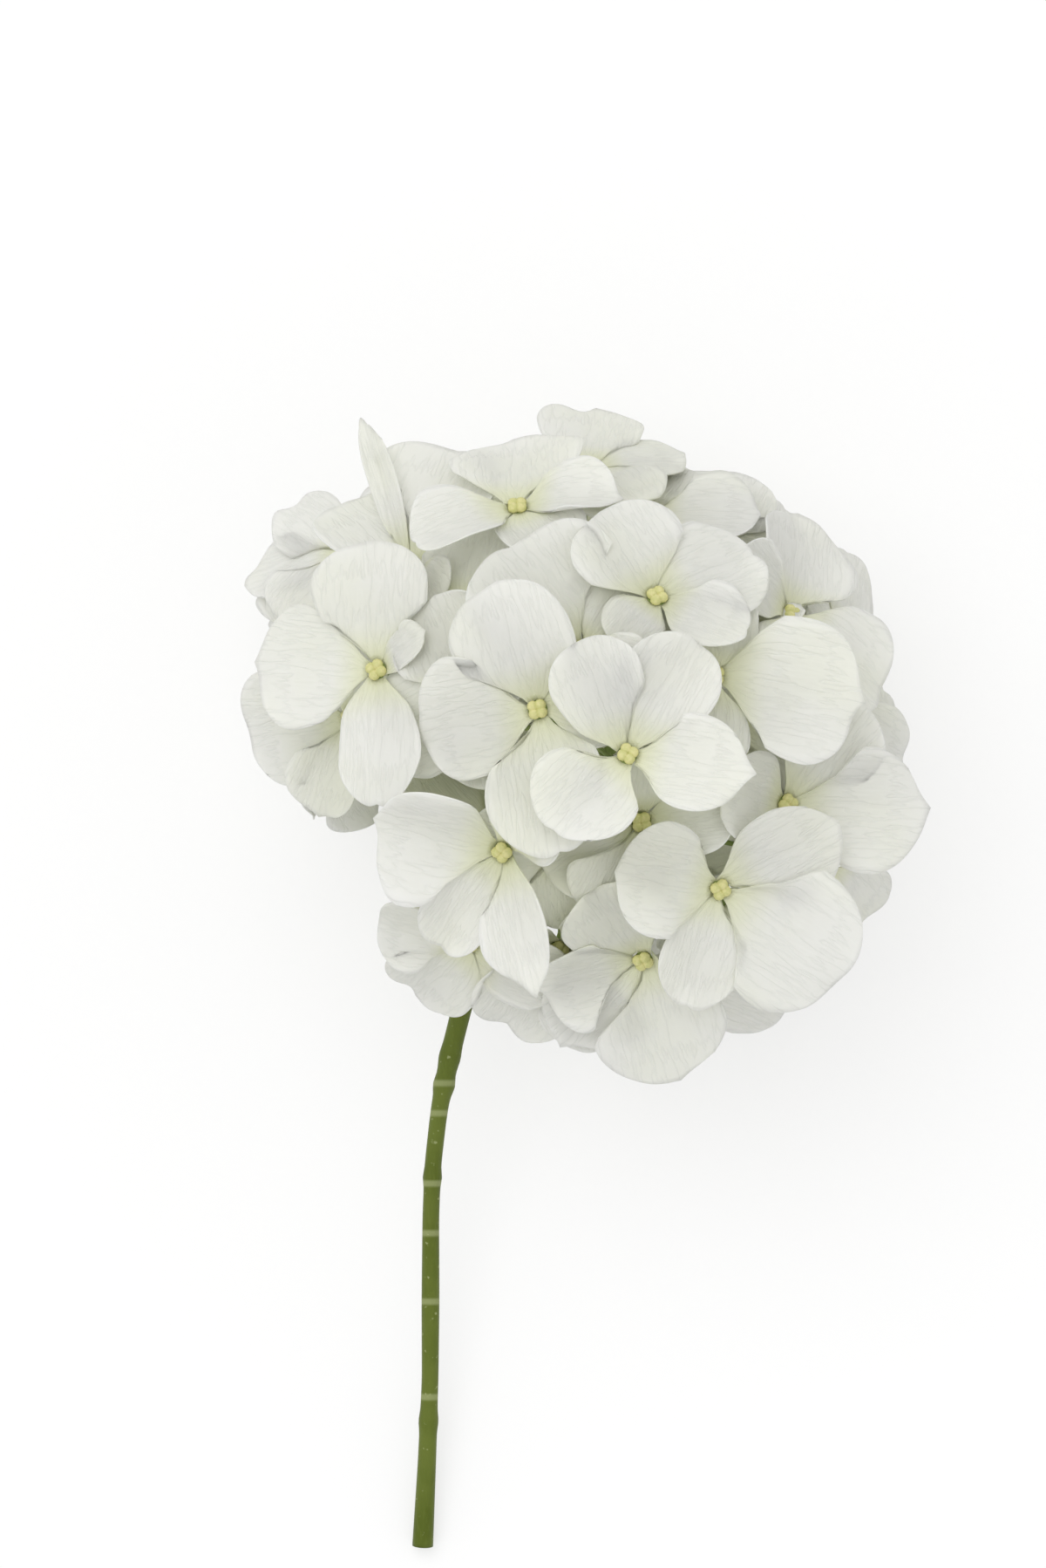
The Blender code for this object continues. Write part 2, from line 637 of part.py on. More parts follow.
def make_rays():
    """The rays, each starting just clear of the top of the stem."""
    fork = np.array(FORK)
    rays = []
    for count, tip in enumerate(RAY_TIPS, start=1):
        tip = np.array(tip)
        way = unit(tip - fork)
        start = fork + way * (FORK_RADIUS + JOINT_CLEARANCE)
        route = bezier(start, fork + way * 16, tip - unit(tip) * 10, tip, RAY_STATIONS)
        rays.append(Ray(f"ray_{count}", route, np.linspace(RAY_RADIUS, RAY_RADIUS * 0.75, RAY_STATIONS)))
    return rays


def stem_shell():
    """The stem, from the cut end on the surface to the knob where the rays begin."""
    stations = np.array(STEM_ROUTE)
    where = list(stations[:, 1])
    for y, _ in STEM_NODES:
        where += [y - 1.6, y, y + 1.6]
    where = sorted(set(where))
    route = [[np.interp(y, stations[:, 1], stations[:, k]) for k in (0, 1, 2)] for y in where]
    radii = []
    for y in where:
        radius = float(np.interp(y, stations[:, 1], stations[:, 3]))
        radii.append(radius + sum(extra for node, extra in STEM_NODES if abs(node - y) < 0.01))
    route = np.array(route)
    route[:, 2] -= FLOOR_DEPTH
    fork = np.array(FORK)
    way = unit(fork - route[-1])
    knob = [fork - way * 1.2, fork + way * 1.6, fork + way * 3.0]
    return tube_shell(np.vstack([route, knob]), radii + [3.2, 3.2, 1.8], STEM_SIDES)


def pedicel_route(floret, ray, share, lean):
    """Middle line of a stalk from the calyx to just short of a ray."""
    top = settled_hub(floret) - CALYX_DEPTH * floret.axis
    point, way, radius = ray.place(share)
    away = top - point
    away = unit(away - np.dot(away, way) * way)
    foot = point + away * (radius + JOINT_CLEARANCE)
    reach = np.linalg.norm(top - foot)
    leave = top - floret.axis * reach * lean
    arrive = foot + (away + 0.8 * way) * reach * 0.25
    return bezier(top, leave, arrive, foot, PEDICEL_STATIONS)


def tree_of(shells):
    """One search tree over several shells, with the shell and the petal behind each triangle."""
    points, faces, owners = [], [], []
    for count, shell in enumerate(shells):
        start = len(points)
        points.extend(shell.points)
        faces.extend((a + start, b + start, c + start) for a, b, c in shell.faces)
        owners.extend((count, part) for part in shell.parts)
    return BVHTree.FromPolygons(points, faces, all_triangles=True), owners


def candidate_routes(floret, rays):
    """Every stalk worth trying for a floret, shortest first."""
    routes = []
    for ray in rays:
        for share in RAY_SHARES:
            for lean in PEDICEL_LEANS:
                route = pedicel_route(floret, ray, share, lean)
                length = float(np.linalg.norm(np.diff(route, axis=0), axis=1).sum())
                routes.append((length, route))
    return sorted(routes, key=lambda pair: pair[0])


def choose_routes(florets, rays, stem):
    """A stalk for each floret, on the ray and along the way that crosses the fewest petals."""
    fixed = [tube_shell(ray.route, ray.radii + 0.15, RAY_SIDES) for ray in rays] + [stem]
    blades = []
    for floret in florets:
        stub = np.array([settled_hub(floret) - depth * floret.axis for depth in (1.5, 2.0)])
        blades.append(floret_shell(floret, stub))
    tree, owners = tree_of(blades + fixed)
    routes, placed = [], []
    for count, floret in enumerate(florets):
        taken = tree_of(placed)[0] if placed else None
        best = None
        for length, route in candidate_routes(floret, rays):
            if best is not None and length > best[0]:
                break
            tube = tube_shell(route, [PEDICEL_RADIUS + PEDICEL_ROOM] * len(route), 5)
            tube_tree, _ = tree_of([tube])
            met = [owners[index] for _, index in tube_tree.overlap(tree)]
            crossed = {(owner, id(part)) for owner, part in met if owner != count}
            cost = length + CROSSING_COST * len(crossed)
            if taken is not None and tube_tree.overlap(taken):
                cost += STALK_CROSSING_COST
            if best is None or cost < best[0]:
                best = (cost, route, tube)
        routes.append(best[1])
        placed.append(best[2])
    return routes


def boxes_meet(first, second):
    """Whether two boxes of (low corner, high corner) overlap."""
    return bool(np.all(first[0] <= second[1]) and np.all(second[0] <= first[1]))


def crossings(shells):
    """Every (shell, petal or None, shell, petal or None) whose surfaces cross."""
    trees = [tree_of([shell])[0] for shell in shells]
    boxes = [(np.min(shell.points, axis=0), np.max(shell.points, axis=0)) for shell in shells]
    found = []
    for i, shell in enumerate(shells):
        for j in range(i + 1, len(shells)):
            if not boxes_meet(boxes[i], boxes[j]):
                continue
            pairs = {}
            for a, b in trees[i].overlap(trees[j]):
                one, two = shell.parts[a], shells[j].parts[b]
                pairs[(id(one), id(two))] = (i, one, j, two)
            found += pairs.values()
    return found


def own_crossings(shell):
    """Parts of one shell that cross without sharing a corner: those close to the hub, and those further out."""
    tree, _ = tree_of([shell])
    near, far = {}, {}
    for a, b in tree.overlap(tree):
        corners = set(shell.faces[a]), set(shell.faces[b])
        if a < b and not corners[0] & corners[1]:
            one, two = shell.parts[a], shell.parts[b]
            found = near if (corners[0] | corners[1]) & shell.hub_points else far
            found[(id(one), id(two))] = (0, one, 0, two)
    return list(near.values()), list(far.values())


def trim(florets, routes, others):
    """Makes petals a little smaller until none crosses another petal or a stalk."""
    for _ in range(TRIM_ROUNDS):
        shells = [floret_shell(floret, route) for floret, route in zip(florets, routes)]
        found = crossings(shells + others)
        flattened = {}
        for shell in shells:
            near, far = own_crossings(shell)
            found += far
            flattened.update((id(part), part) for _, one, _, two in near for part in (one, two) if part)
        if not found and not flattened:
            break
        for petal in flattened.values():
            petal.lifts = petal.owner.lift + FLATTEN * (petal.lifts - petal.owner.lift)
        marked = {}
        for _, one, _, two in found:
            if one is None and two is None:
                continue
            if one is None or two is None:
                petal = one or two
            else:
                petal = one if one.order < two.order else two
            marked[id(petal)] = petal
        for petal in marked.values():
            petal.size *= TRIM_SHARE
    return shells


def finish(name, colour, roughness):
    """A plain material: base colour and roughness, no metal."""
    material = bpy.data.materials.new(name)
    material.use_nodes = True
    shader = material.node_tree.nodes["Principled BSDF"]
    shader.inputs["Base Color"].default_value = (*colour, 1.0)
    shader.inputs["Roughness"].default_value = roughness
    shader.inputs["Metallic"].default_value = 0.0
    return material


def put(name, shell, colour, roughness, shift):
    """One named object from a shell, moved into the world frame and turned into metres."""
    mesh = bpy.data.meshes.new(name)
    points = [tuple((value + move) * MM for value, move in zip(point, shift)) for point in shell.points]
    mesh.from_pydata(points, [], shell.faces)
    mesh.validate()
    mesh.materials.append(finish(name, colour, roughness))
    bpy.context.collection.objects.link(bpy.data.objects.new(name, mesh))


def main():
    """Lays out the head, settles and trims the petals, and builds every object."""
    for thing in list(bpy.data.objects):
        bpy.data.objects.remove(thing, do_unlink=True)
    florets = all_florets()
    petals = dress_with_petals(florets)
    settle(florets, petals)
    rays = make_rays()
    branches = [tube_shell(ray.route, ray.radii, RAY_SIDES) for ray in rays]
    stem = stem_shell()
    routes = choose_routes(florets, rays, stem)
    flowers = trim(florets, routes, [stem] + branches)
    everything = np.vstack([shell.points for shell in [stem] + branches + flowers])
    low, high = everything.min(axis=0), everything.max(axis=0)
    shift = (-(low[0] + high[0]) / 2, -(low[1] + high[1]) / 2, -low[2])
    put("stem", stem, STEM_COLOUR, STALK_ROUGHNESS, shift)
    for ray, branch in zip(rays, branches):
        put(ray.name, branch, RAY_COLOUR, STALK_ROUGHNESS, shift)
    for floret, flower in zip(florets, flowers):
        put(floret.name, flower, PETAL_COLOUR, PETAL_ROUGHNESS, shift)


main()
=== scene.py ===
"""A cut mophead hydrangea lying on a pale surface: stem, rays and a ball of four-petalled florets.

Lengths inside the head's own layout are in millimetres from the centre of the head. Everything that
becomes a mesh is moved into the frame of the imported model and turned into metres.
"""

import logging
import math
import random
from dataclasses import dataclass, field
from enum import Enum
from typing import Any, Optional

import bmesh
import bpy
import numpy as np
from mathutils import Matrix, Vector
from mathutils.bvhtree import BVHTree


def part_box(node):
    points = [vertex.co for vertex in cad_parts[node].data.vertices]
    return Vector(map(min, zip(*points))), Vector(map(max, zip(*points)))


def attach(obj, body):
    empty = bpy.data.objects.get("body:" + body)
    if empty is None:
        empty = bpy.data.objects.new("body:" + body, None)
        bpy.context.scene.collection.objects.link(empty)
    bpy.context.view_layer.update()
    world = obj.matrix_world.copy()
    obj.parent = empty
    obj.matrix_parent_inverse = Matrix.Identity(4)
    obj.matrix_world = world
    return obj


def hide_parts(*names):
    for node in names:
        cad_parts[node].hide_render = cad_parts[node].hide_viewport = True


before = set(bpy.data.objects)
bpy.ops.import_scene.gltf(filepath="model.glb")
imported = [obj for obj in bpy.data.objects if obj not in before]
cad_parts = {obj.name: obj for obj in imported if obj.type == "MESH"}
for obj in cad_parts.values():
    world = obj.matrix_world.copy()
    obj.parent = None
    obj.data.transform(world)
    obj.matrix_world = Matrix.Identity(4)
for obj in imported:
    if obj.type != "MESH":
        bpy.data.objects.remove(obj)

LOG = logging.getLogger("hydrangea")
MM = 0.001
PETAL_UV = "petal"

FLOOR_DEPTH = 53.0  # the surface lies this far under the centre of the head
RAY_RADIUS = 1.35
RAY_TAPER = 0.25  # share of its radius that a ray loses towards its tip
CLEARANCE = 0.4  # between pieces that would otherwise touch
ACROSS = (0.31, 0.17, 0.94)  # a tube's sides are counted from square to this

Point = np.ndarray
PetalRow = tuple[float, float, float]
Place = tuple[float, float, float]
Colour = tuple[float, float, float, float]
Range = tuple[float, float]


class Side(Enum):
    """Which half of the head a floret's hub is on."""

    UPPER = 1.0
    LOWER = -1.0


class Socket(Enum):
    """Sockets of the Principled shader that the finishes set."""

    COLOUR = "Base Color"
    ROUGHNESS = "Roughness"
    SUBSURFACE = "Subsurface Weight"
    SUBSURFACE_SCALE = "Subsurface Scale"
    SUBSURFACE_RADIUS = "Subsurface Radius"
    SPECULAR = "Specular IOR Level"
    NORMAL = "Normal"
    GLOW = "Emission Color"
    GLOW_STRENGTH = "Emission Strength"


def unit(vector: Point) -> Point:
    """The vector at length one."""
    return vector / np.linalg.norm(vector)


def spherical(direction: float, elevation: float) -> Point:
    """Unit vector from two angles in degrees."""
    turn, up = math.radians(direction), math.radians(elevation)
    return np.array((math.cos(turn) * math.cos(up), math.sin(turn) * math.cos(up), math.sin(up)))


def bezier(a: Point, b: Point, c: Point, d: Point, count: int) -> Point:
    """Points along a cubic curve, both ends among them.

    Args:
        a: start of the curve.
        b: where the curve heads at its start.
        c: where the curve comes from at its end.
        d: end of the curve.
        count: number of points.

    Returns:
        The points, one a row.
    """
    steps = np.linspace(0, 1, count)[:, None]
    rest = 1 - steps
    return rest**3 * a + 3 * rest**2 * steps * b + 3 * rest * steps**2 * c + steps**3 * d


def sheet_faces(rows: int, columns: int, start: int) -> list[tuple[int, int, int]]:
    """Triangles of a grid of points, the first of which has the number start."""
    faces = []
    for corner in (start + i * columns + j for i in range(rows - 1) for j in range(columns - 1)):
        other = corner + columns
        faces += [(corner, corner + 1, other + 1), (corner, other + 1, other)]
    return faces


def ripple(waves: tuple[Place, ...], turn: float, phase: float) -> float:
    """Sum of waves round an edge, each with its number, height and share of the phase."""
    return sum(height * math.sin(number * turn + shift * phase) for number, height, shift in waves)


@dataclass
class Petal:
    """One petal of a floret, with everything its surface needs."""

    owner: "Floret"
    angle: float
    left: float
    right: float
    length: float
    half_width: float
    rise: float
    curl: float
    channel: float
    twist: float
    order: float
    ruffle: float = 0.5
    phase: float = 0.0
    point: float = 0.0
    lifts: Optional[Point] = None


@dataclass
class Floret:
    """One four-petalled flower: its hub in the plane of the head, and how it faces."""

    x: float
    y: float
    level: float
    facing: tuple[float, float]
    petals: tuple[PetalRow, ...]
    rise: float = 14.0
    curl: float = -22.0
    cup: float = 0.0
    side: Side = Side.UPPER
    name: str = ""
    hub: Optional[Point] = None
    axis: Optional[Point] = None
    lift: float = 0.0
    parts: list[Petal] = field(default_factory=list)

    def settled_hub(self) -> Point:
        """The hub where the settling left it."""
        return self.hub + unit(self.hub) * self.lift

    def directions(self) -> tuple[Point, Point]:
        """Two directions across the axis: the first is the way of an angle of zero."""
        first = unit(np.array((1.0, 0.0, 0.0)) - self.axis[0] * self.axis)
        return first, np.cross(self.axis, first)


def cross(start: float, length: float) -> tuple[PetalRow, ...]:
    """Four equal petals a quarter turn apart."""
    return tuple((start + turn, length, 1.0) for turn in (0, 90, 180, 270))


# Florets seen from above, from the middle of the head outwards.
# A petal is (direction in degrees, length, width against the usual one).
FACE_FLORETS = (
    Floret(10.4, -3.2, 3.3, (0.05, 0.28),
        ((114, 26, 0.8), (62, 29, 0.74), (-13, 25, 0.9), (-132, 23, 1.0)), 20, -16),
    Floret(-9.8, 7.0, 2.4, (-0.15, 0.08),
        ((190, 25, 1.1), (107, 28, 0.9), (-80, 31, 0.85), (12, 22, 1.0)), 14, -24),
    Floret(31.4, -33.4, 3.0, (0.22, -0.25),
        ((166, 24, 1.05), (27, 27, 0.85), (-35, 33, 0.9), (-106, 25, 0.8)), 12, -16),
    Floret(-45.0, 15.6, 2.8, (-0.28, 0.10),
        ((174, 27, 1.05), (92, 28, 0.95), (-84, 29, 0.65), (28, 12, 0.7)), 14, -22),
    Floret(30.0, 14.6, 2.2, (0.32, 0.12),
        ((-9, 31, 1.0), (84, 20, 0.9), (182, 20, 0.9), (-96, 24, 0.7)), 12, -18),
    Floret(-52.0, 5.0, 0.9, (-0.50, -0.15),
        ((194, 27, 0.95), (-108, 21, 0.9), (80, 20, 0.9), (0, 20, 0.9)), 12, -18),
    Floret(34.4, 3.6, 0.4, (0.40, -0.20),
        ((-76, 26, 0.8), (-20, 27, 0.9), (100, 18, 1.0), (190, 18, 1.0)), 16, -16),
    Floret(14.0, -18.6, 0.9, (0.0, -0.20),
        ((206, 24, 1.0), (-112, 23, 0.9), (8, 24, 0.9), (95, 16, 1.0)), 18, -20),
    Floret(-17.6, -25.0, 1.9, (-0.30, -0.35),
        ((164, 27, 0.9), (240, 25, 0.62), (-68, 27, 0.58), (50, 19, 0.9)), 26, -24, 0.34),
    Floret(0.4, 20.6, 2.3, (-0.05, 0.42),
        ((124, 29, 1.2), (62, 22, 1.0), (-20, 14, 0.8), (-150, 14, 0.8)), 22, -36, 0.12),
    Floret(17.0, 32.0, 2.35, (0.15, 0.50),
        ((128, 21, 1.15), (30, 25, 0.95), (-24, 22, 0.7), (-125, 14, 1.0)), 20, -30),
    Floret(-14.2, 52.6, 2.4, (-0.10, 0.76),
        ((92, 22, 1.25), (-8, 21, 0.9), (-66, 21, 0.85), (214, 25, 0.8)), 14, -22, 0.2),
    Floret(-38.6, 39.0, 2.2, (-0.20, 0.60),
        ((130, 25, 0.9), (72, 33, 0.85), (103, 38, 0.17), (-60, 14, 0.8)), 24, -28, 0.2),
    Floret(-53.0, 44.0, 1.0, (-0.50, 0.50),
        ((184, 23, 0.75), (135, 19, 0.9), (232, 22, 1.0), (20, 20, 1.0)), 16, -22),
    Floret(-63.0, 25.0, 0.6, (-0.72, 0.05),
        ((206, 20, 0.9), (112, 18, 1.0), (300, 18, 1.0), (25, 16, 1.0)), 16, -18),
    Floret(-27.0, 30.0, 1.2, (-0.25, 0.40),
        ((80, 21, 1.1), (160, 16, 0.9), (-120, 15, 1.0), (-20, 16, 1.0)), 20, -24),
    Floret(-25.0, 10.0, 1.6, (-0.35, 0.05),
        ((112, 26, 0.95), (205, 24, 1.0), (-70, 20, 0.9), (20, 11, 1.0)), 14, -22),
    Floret(1.4, 60.0, 1.4, (0.00, 0.88),
        ((165, 22, 1.0), (85, 23, 1.0), (-66, 24, 0.9), (10, 20, 1.0)), 16, -20),
    Floret(13.6, 52.0, 1.2, (0.25, 0.74),
        ((66, 26, 1.0), (-4, 24, 1.0), (-84, 24, 1.0), (168, 18, 1.0)), 18, -20),
    Floret(28.0, 45.0, 0.8, (0.42, 0.66),
        ((74, 27, 0.95), (0, 24, 1.0), (-85, 22, 1.0), (165, 18, 1.0)), 18, -22),
    Floret(39.0, 40.0, 0.2, (0.62, 0.60),
        ((72, 25, 0.9), (0, 22, 0.9), (-90, 24, 1.0), (165, 18, 1.0)), 18, -22),
    Floret(36.0, 27.0, 0.9, (0.50, 0.42),
        ((65, 24, 1.0), (-20, 22, 1.0), (150, 22, 1.0), (-110, 18, 1.0)), 24, -24),
    Floret(47.0, 28.0, 1.7, (0.68, 0.36),
        ((84, 26, 1.0), (-24, 27, 1.0), (162, 18, 1.0), (-100, 22, 1.0)), 14, -18),
    Floret(59.0, 22.0, 0.9, (0.90, 0.28),
        ((10, 24, 0.8), (100, 22, 0.9), (190, 20, 1.0), (-80, 24, 1.0)), 18, -20),
    Floret(46.4, -14.2, 2.0, (0.50, -0.10),
        ((-4, 30, 0.9), (52, 26, 0.95), (-92, 24, 1.0), (165, 20, 0.9)), 14, -18),
    Floret(56.0, 3.0, 1.0, (0.82, 0.10),
        ((66, 26, 1.0), (-10, 24, 0.9), (160, 20, 1.0), (-110, 20, 1.0)), 16, -20),
    Floret(56.0, -30.0, 1.3, (0.84, -0.36),
        ((20, 23, 1.0), (-62, 25, 0.9), (110, 22, 1.0), (200, 22, 1.0)), 16, -20),
    Floret(-3.0, -24.0, 0.3, (-0.10, -0.40),
        ((-84, 24, 0.9), (180, 20, 1.0), (90, 16, 1.0), (5, 20, 1.0)), 22, -22),
    Floret(-25.0, -45.0, 1.0, (-0.30, -0.62),
        ((174, 19, 1.05), (238, 22, 0.9), (-10, 24, 0.9), (90, 20, 1.0)), 16, -20),
    Floret(-5.0, -48.0, 0.9, (-0.08, -0.70),
        ((-116, 25, 0.9), (-64, 26, 0.7), (150, 20, 1.0), (40, 20, 1.0)), 20, -22, 0.15),
    Floret(14.0, -49.0, 2.0, (0.02, -0.60),
        ((194, 22, 0.95), (-128, 25, 0.9), (-74, 29, 1.0), (118, 22, 1.0)), 16, -20),
    Floret(27.0, -52.0, 0.7, (0.35, -0.78),
        ((-36, 24, 0.9), (-100, 22, 1.0), (50, 20, 1.0), (150, 20, 1.0)), 20, -20),
    Floret(16.0, 17.0, 0.2, (0.10, 0.40),
        ((88, 24, 1.0), (178, 20, 1.0), (10, 22, 1.0), (-90, 16, 1.0)), 22, -20),
    Floret(-19.0, 54.0, 0.4, (-0.20, 0.92),
        ((150, 24, 0.9), (70, 24, 0.9), (-30, 20, 1.0), (240, 20, 1.0)), 24, -20),
)

# Florets turned away from above: direction round the head in degrees and petal length.
RIM_FLORETS = (
    (-80.0, 22.0), (-47.0, 23.0), (-12.0, 23.0), (20.0, 22.0), (50.0, 22.0),
    (82.0, 21.0), (115.0, 22.0), (148.0, 22.0), (180.0, 20.0), (230.0, 12.0),
)
RIM_ELEVATION = -24.0
RIM_LEVELS = (0.8, -0.2)
RIM_TURN = 40.0  # from the first petal of one floret to that of the next
UNDER_DIRECTIONS = (-50.0, 5.0, 62.0, 122.0, 176.0, 226.0)
UNDER_ELEVATION = -54.0
UNDER_LEVEL = -1.0
UNDER_LENGTH = 22.0
UNDER_TURN = 25.0
BASE_LEVEL = -2.6
BASE_LENGTH = 20.0
BASE_START = 45.0
BASE_DIRECTION = 70.0
BASE_ELEVATION = -84.0

# A floret on the side away from the stem's bend, under the edge of those above.
SIDE_FLORETS = (
    Floret(52.2, -15.0, 0.0, (0.93, -0.27),
        ((45, 20, 1.0), (135, 20, 1.0), (225, 20, 1.0), (315, 20, 1.0)), 16, -20),
)


@dataclass
class Layout:
    """The florets of the head, how their petals grow and how they settle against each other."""

    core_radius: float = 56.0
    level_step: float = 3.6
    petal_sheet: float = 0.5
    aspect: float = 0.53
    widest_at: float = 0.56
    waist: float = 0.34
    shoulder: float = 0.64
    lengths: Range = (0.96, 1.04)
    widths: Range = (0.97, 1.05)
    rises: Range = (-2, 2)
    curls: Range = (-6, 6)
    channels: Range = (0.0, 0.36)
    twists: Range = (-9, 9)
    tips: Range = (-0.05, 0.09)
    ruffles: Range = (0.4, 1.1)
    inner_rise: float = 5.0
    outer_rise: float = -4.0
    inner_order: float = 0.3
    rank_order: float = 0.002
    hub_radius: float = 2.3
    gap: float = 1.7
    rows: int = 7
    columns: int = 5
    rounds: int = 36
    reach: float = 14.0
    most_lift: float = 13.0
    most_slope: float = 0.75
    most_share: float = 50.0
    sector_until: float = -0.5
    sector_growth: float = 2.0
    sector_slack: float = 0.9
    hub_blend: float = 0.5
    own_rows: int = 2
    smoothing: float = 0.45
    calm: float = 0.6
    calm_rounds: int = 6
    florets: list[Floret] = field(default_factory=list)
    petals: list[Petal] = field(default_factory=list)

    def hub_of(self, floret: Floret) -> Point:
        """Where the floret's petals meet."""
        radius = self.core_radius + self.level_step * floret.level
        height = math.sqrt(max(radius**2 - math.hypot(floret.x, floret.y) ** 2, 0.0))
        return np.array((floret.x, floret.y, floret.side.value * height))

    def hidden(self, direction: float, elevation: float, level: float, length: float, start: float) -> Floret:
        """A floret that faces straight out of the head.

        Args:
            direction: way round the head, in degrees.
            elevation: angle above the middle of the head, in degrees.
            level: how far out of the core, in steps.
            length: length of its petals.
            start: direction of its first petal, in degrees.

        Returns:
            The floret.
        """
        way = spherical(direction, elevation)
        hub = way * (self.core_radius + self.level_step * level)
        return Floret(hub[0], hub[1], level, (way[0], way[1]), cross(start, length), side=Side.LOWER)

    def plant(self) -> None:
        """Places every floret, from the top of the head to its underside."""
        self.florets = list(FACE_FLORETS)
        for count, (direction, length) in enumerate(RIM_FLORETS):
            level = RIM_LEVELS[count % 2]
            self.florets.append(self.hidden(direction, RIM_ELEVATION, level, length, RIM_TURN * count))
        for count, direction in enumerate(UNDER_DIRECTIONS):
            start = UNDER_TURN * count
            self.florets.append(self.hidden(direction, UNDER_ELEVATION, UNDER_LEVEL, UNDER_LENGTH, start))
        base = self.hidden(BASE_DIRECTION, BASE_ELEVATION, BASE_LEVEL, BASE_LENGTH, BASE_START)
        self.florets.append(base)
        self.florets += SIDE_FLORETS
        for count, floret in enumerate(self.florets, start=1):
            floret.name = f"floret_{count:02d}"
            floret.hub = self.hub_of(floret)
            depth = math.sqrt(max(1.0 - math.hypot(*floret.facing) ** 2, 0.0))
            floret.axis = unit(np.array((*floret.facing, floret.side.value * depth)))

    def grow(self, seed: int = 7) -> None:
        """Gives each floret its petals, each a little different from the next."""
        chance = random.Random(seed)
        tips = random.Random(seed + 2)
        for rank, floret in enumerate(self.florets):
            turns = sorted(floret.petals, key=lambda row: row[0] % 360)
            angles = [angle % 360 for angle, _, _ in turns]
            for count, (angle, length, width) in enumerate(turns):
                inner = count % 2
                petal = Petal(
                    owner=floret,
                    angle=angle,
                    left=(angles[(count + 1) % len(turns)] - angles[count]) % 360 / 2,
                    right=(angles[count] - angles[count - 1]) % 360 / 2,
                    length=length * chance.uniform(*self.lengths),
                    half_width=length * width * self.aspect * chance.uniform(*self.widths),
                    rise=floret.rise
                    + (self.inner_rise if inner else self.outer_rise)
                    + chance.uniform(*self.rises),
                    curl=floret.curl + chance.uniform(*self.curls),
                    channel=floret.cup + chance.uniform(*self.channels),
                    twist=chance.uniform(*self.twists),
                    order=floret.level + self.rank_order * rank + (self.inner_order if inner else 0.0),
                    point=tips.uniform(*self.tips),
                    lifts=np.zeros((self.rows, self.columns)),
                )
                floret.parts.append(petal)
                self.petals.append(petal)
        looks = random.Random(seed + 1)
        for petal in self.petals:
            petal.ruffle = looks.uniform(*self.ruffles)
            petal.phase = looks.uniform(0, 2 * math.pi)

    def outline(self, p: float, q: float) -> tuple[float, float]:
        """(along, across) of a point of the flat petal, as shares of its length and half width."""
        if p <= 0:
            width = self.waist + (1 - self.waist) * math.sin((1 + p) * math.pi / 2) ** self.shoulder
            return self.widest_at * (1 + p), q * width
        along = p * math.sqrt(1 - q * q / 2)
        return self.widest_at + (1 - self.widest_at) * along, q * math.sqrt(1 - p * p / 2)

    def petal_point(self, petal: Petal, p: float, q: float) -> Point:
        """A point of the unsettled petal's middle sheet.

        Args:
            petal: the petal.
            p: from -1 at the hub to 1 at the tip.
            q: from -1 at one edge to 1 at the other.

        Returns:
            The point, in millimetres from the centre of the head.
        """
        floret = petal.owner
        first, second = floret.directions()
        turn = math.radians(petal.angle)
        out = math.cos(turn) * first + math.sin(turn) * second
        side = np.cross(floret.axis, out)
        along, across = self.outline(p, q)
        tip = max(0.0, p) ** 3 * max(0.0, 1 - 2 * abs(q)) ** 2
        run = (along + petal.point * tip) * petal.length
        offset = across * petal.half_width
        share = petal.left if q > 0 else petal.right
        spread = 1 + self.sector_growth * max(0.0, p - self.sector_until)
        widening = math.tan(math.radians(min(share, self.most_share)))
        room = (self.hub_radius + run) * widening * spread + self.sector_slack
        offset = math.copysign(min(abs(offset), room), offset)
        bend = math.radians(petal.curl) / petal.length
        start = math.radians(petal.rise)
        slope = start + bend * run
        reach = (math.sin(slope) - math.sin(start)) / bend
        height = rise_only = (math.cos(start) - math.cos(slope)) / bend
        height += petal.channel * offset * offset / petal.half_width
        height += math.sin(math.radians(petal.twist) * along) * offset
        point = floret.hub + (self.hub_radius + reach) * out + offset * side + height * floret.axis
        fade = max(0.0, 1 - (p + 1) / self.hub_blend) ** 2
        if fade > 0:
            lean = math.radians(petal.angle + q * share)
            rim = floret.hub + self.hub_radius * (math.cos(lean) * first + math.sin(lean) * second)
            base = floret.hub + self.hub_radius * out + offset * side
            base = base + (height - rise_only) * floret.axis
            point = point + fade * (rim - base)
        return point

    def lift_at(self, petal: Petal, p: float, q: float) -> float:
        """How far the settling moved this point away from the centre of the head."""
        row = (p + 1) / 2 * (self.rows - 1)
        column = (q + 1) / 2 * (self.columns - 1)
        i = min(int(row), self.rows - 2)
        j = min(int(column), self.columns - 2)
        u, v = row - i, column - j
        grid = petal.lifts
        near = grid[i, j] * (1 - v) + grid[i, j + 1] * v
        far = grid[i + 1, j] * (1 - v) + grid[i + 1, j + 1] * v
        return near * (1 - u) + far * u

    def settled_point(self, petal: Petal, p: float, q: float) -> Point:
        """A point of the petal's middle sheet as it lies among its neighbours."""
        point = self.petal_point(petal, p, q)
        point = point + unit(point) * self.lift_at(petal, p, q)
        point[2] = max(point[2], self.petal_sheet / 2 - FLOOR_DEPTH)
        return point

    def per_petal(self) -> int:
        """How many triangles the settling has in one petal."""
        return 2 * (self.rows - 1) * (self.columns - 1)

    @staticmethod
    def neighbours(grid: Point) -> Point:
        """For each value of a grid, the middle value of the four around it."""
        wide = np.pad(grid, 1, mode="edge")
        return (wide[:-2, 1:-1] + wide[2:, 1:-1] + wide[1:-1, :-2] + wide[1:-1, 2:]) / 4

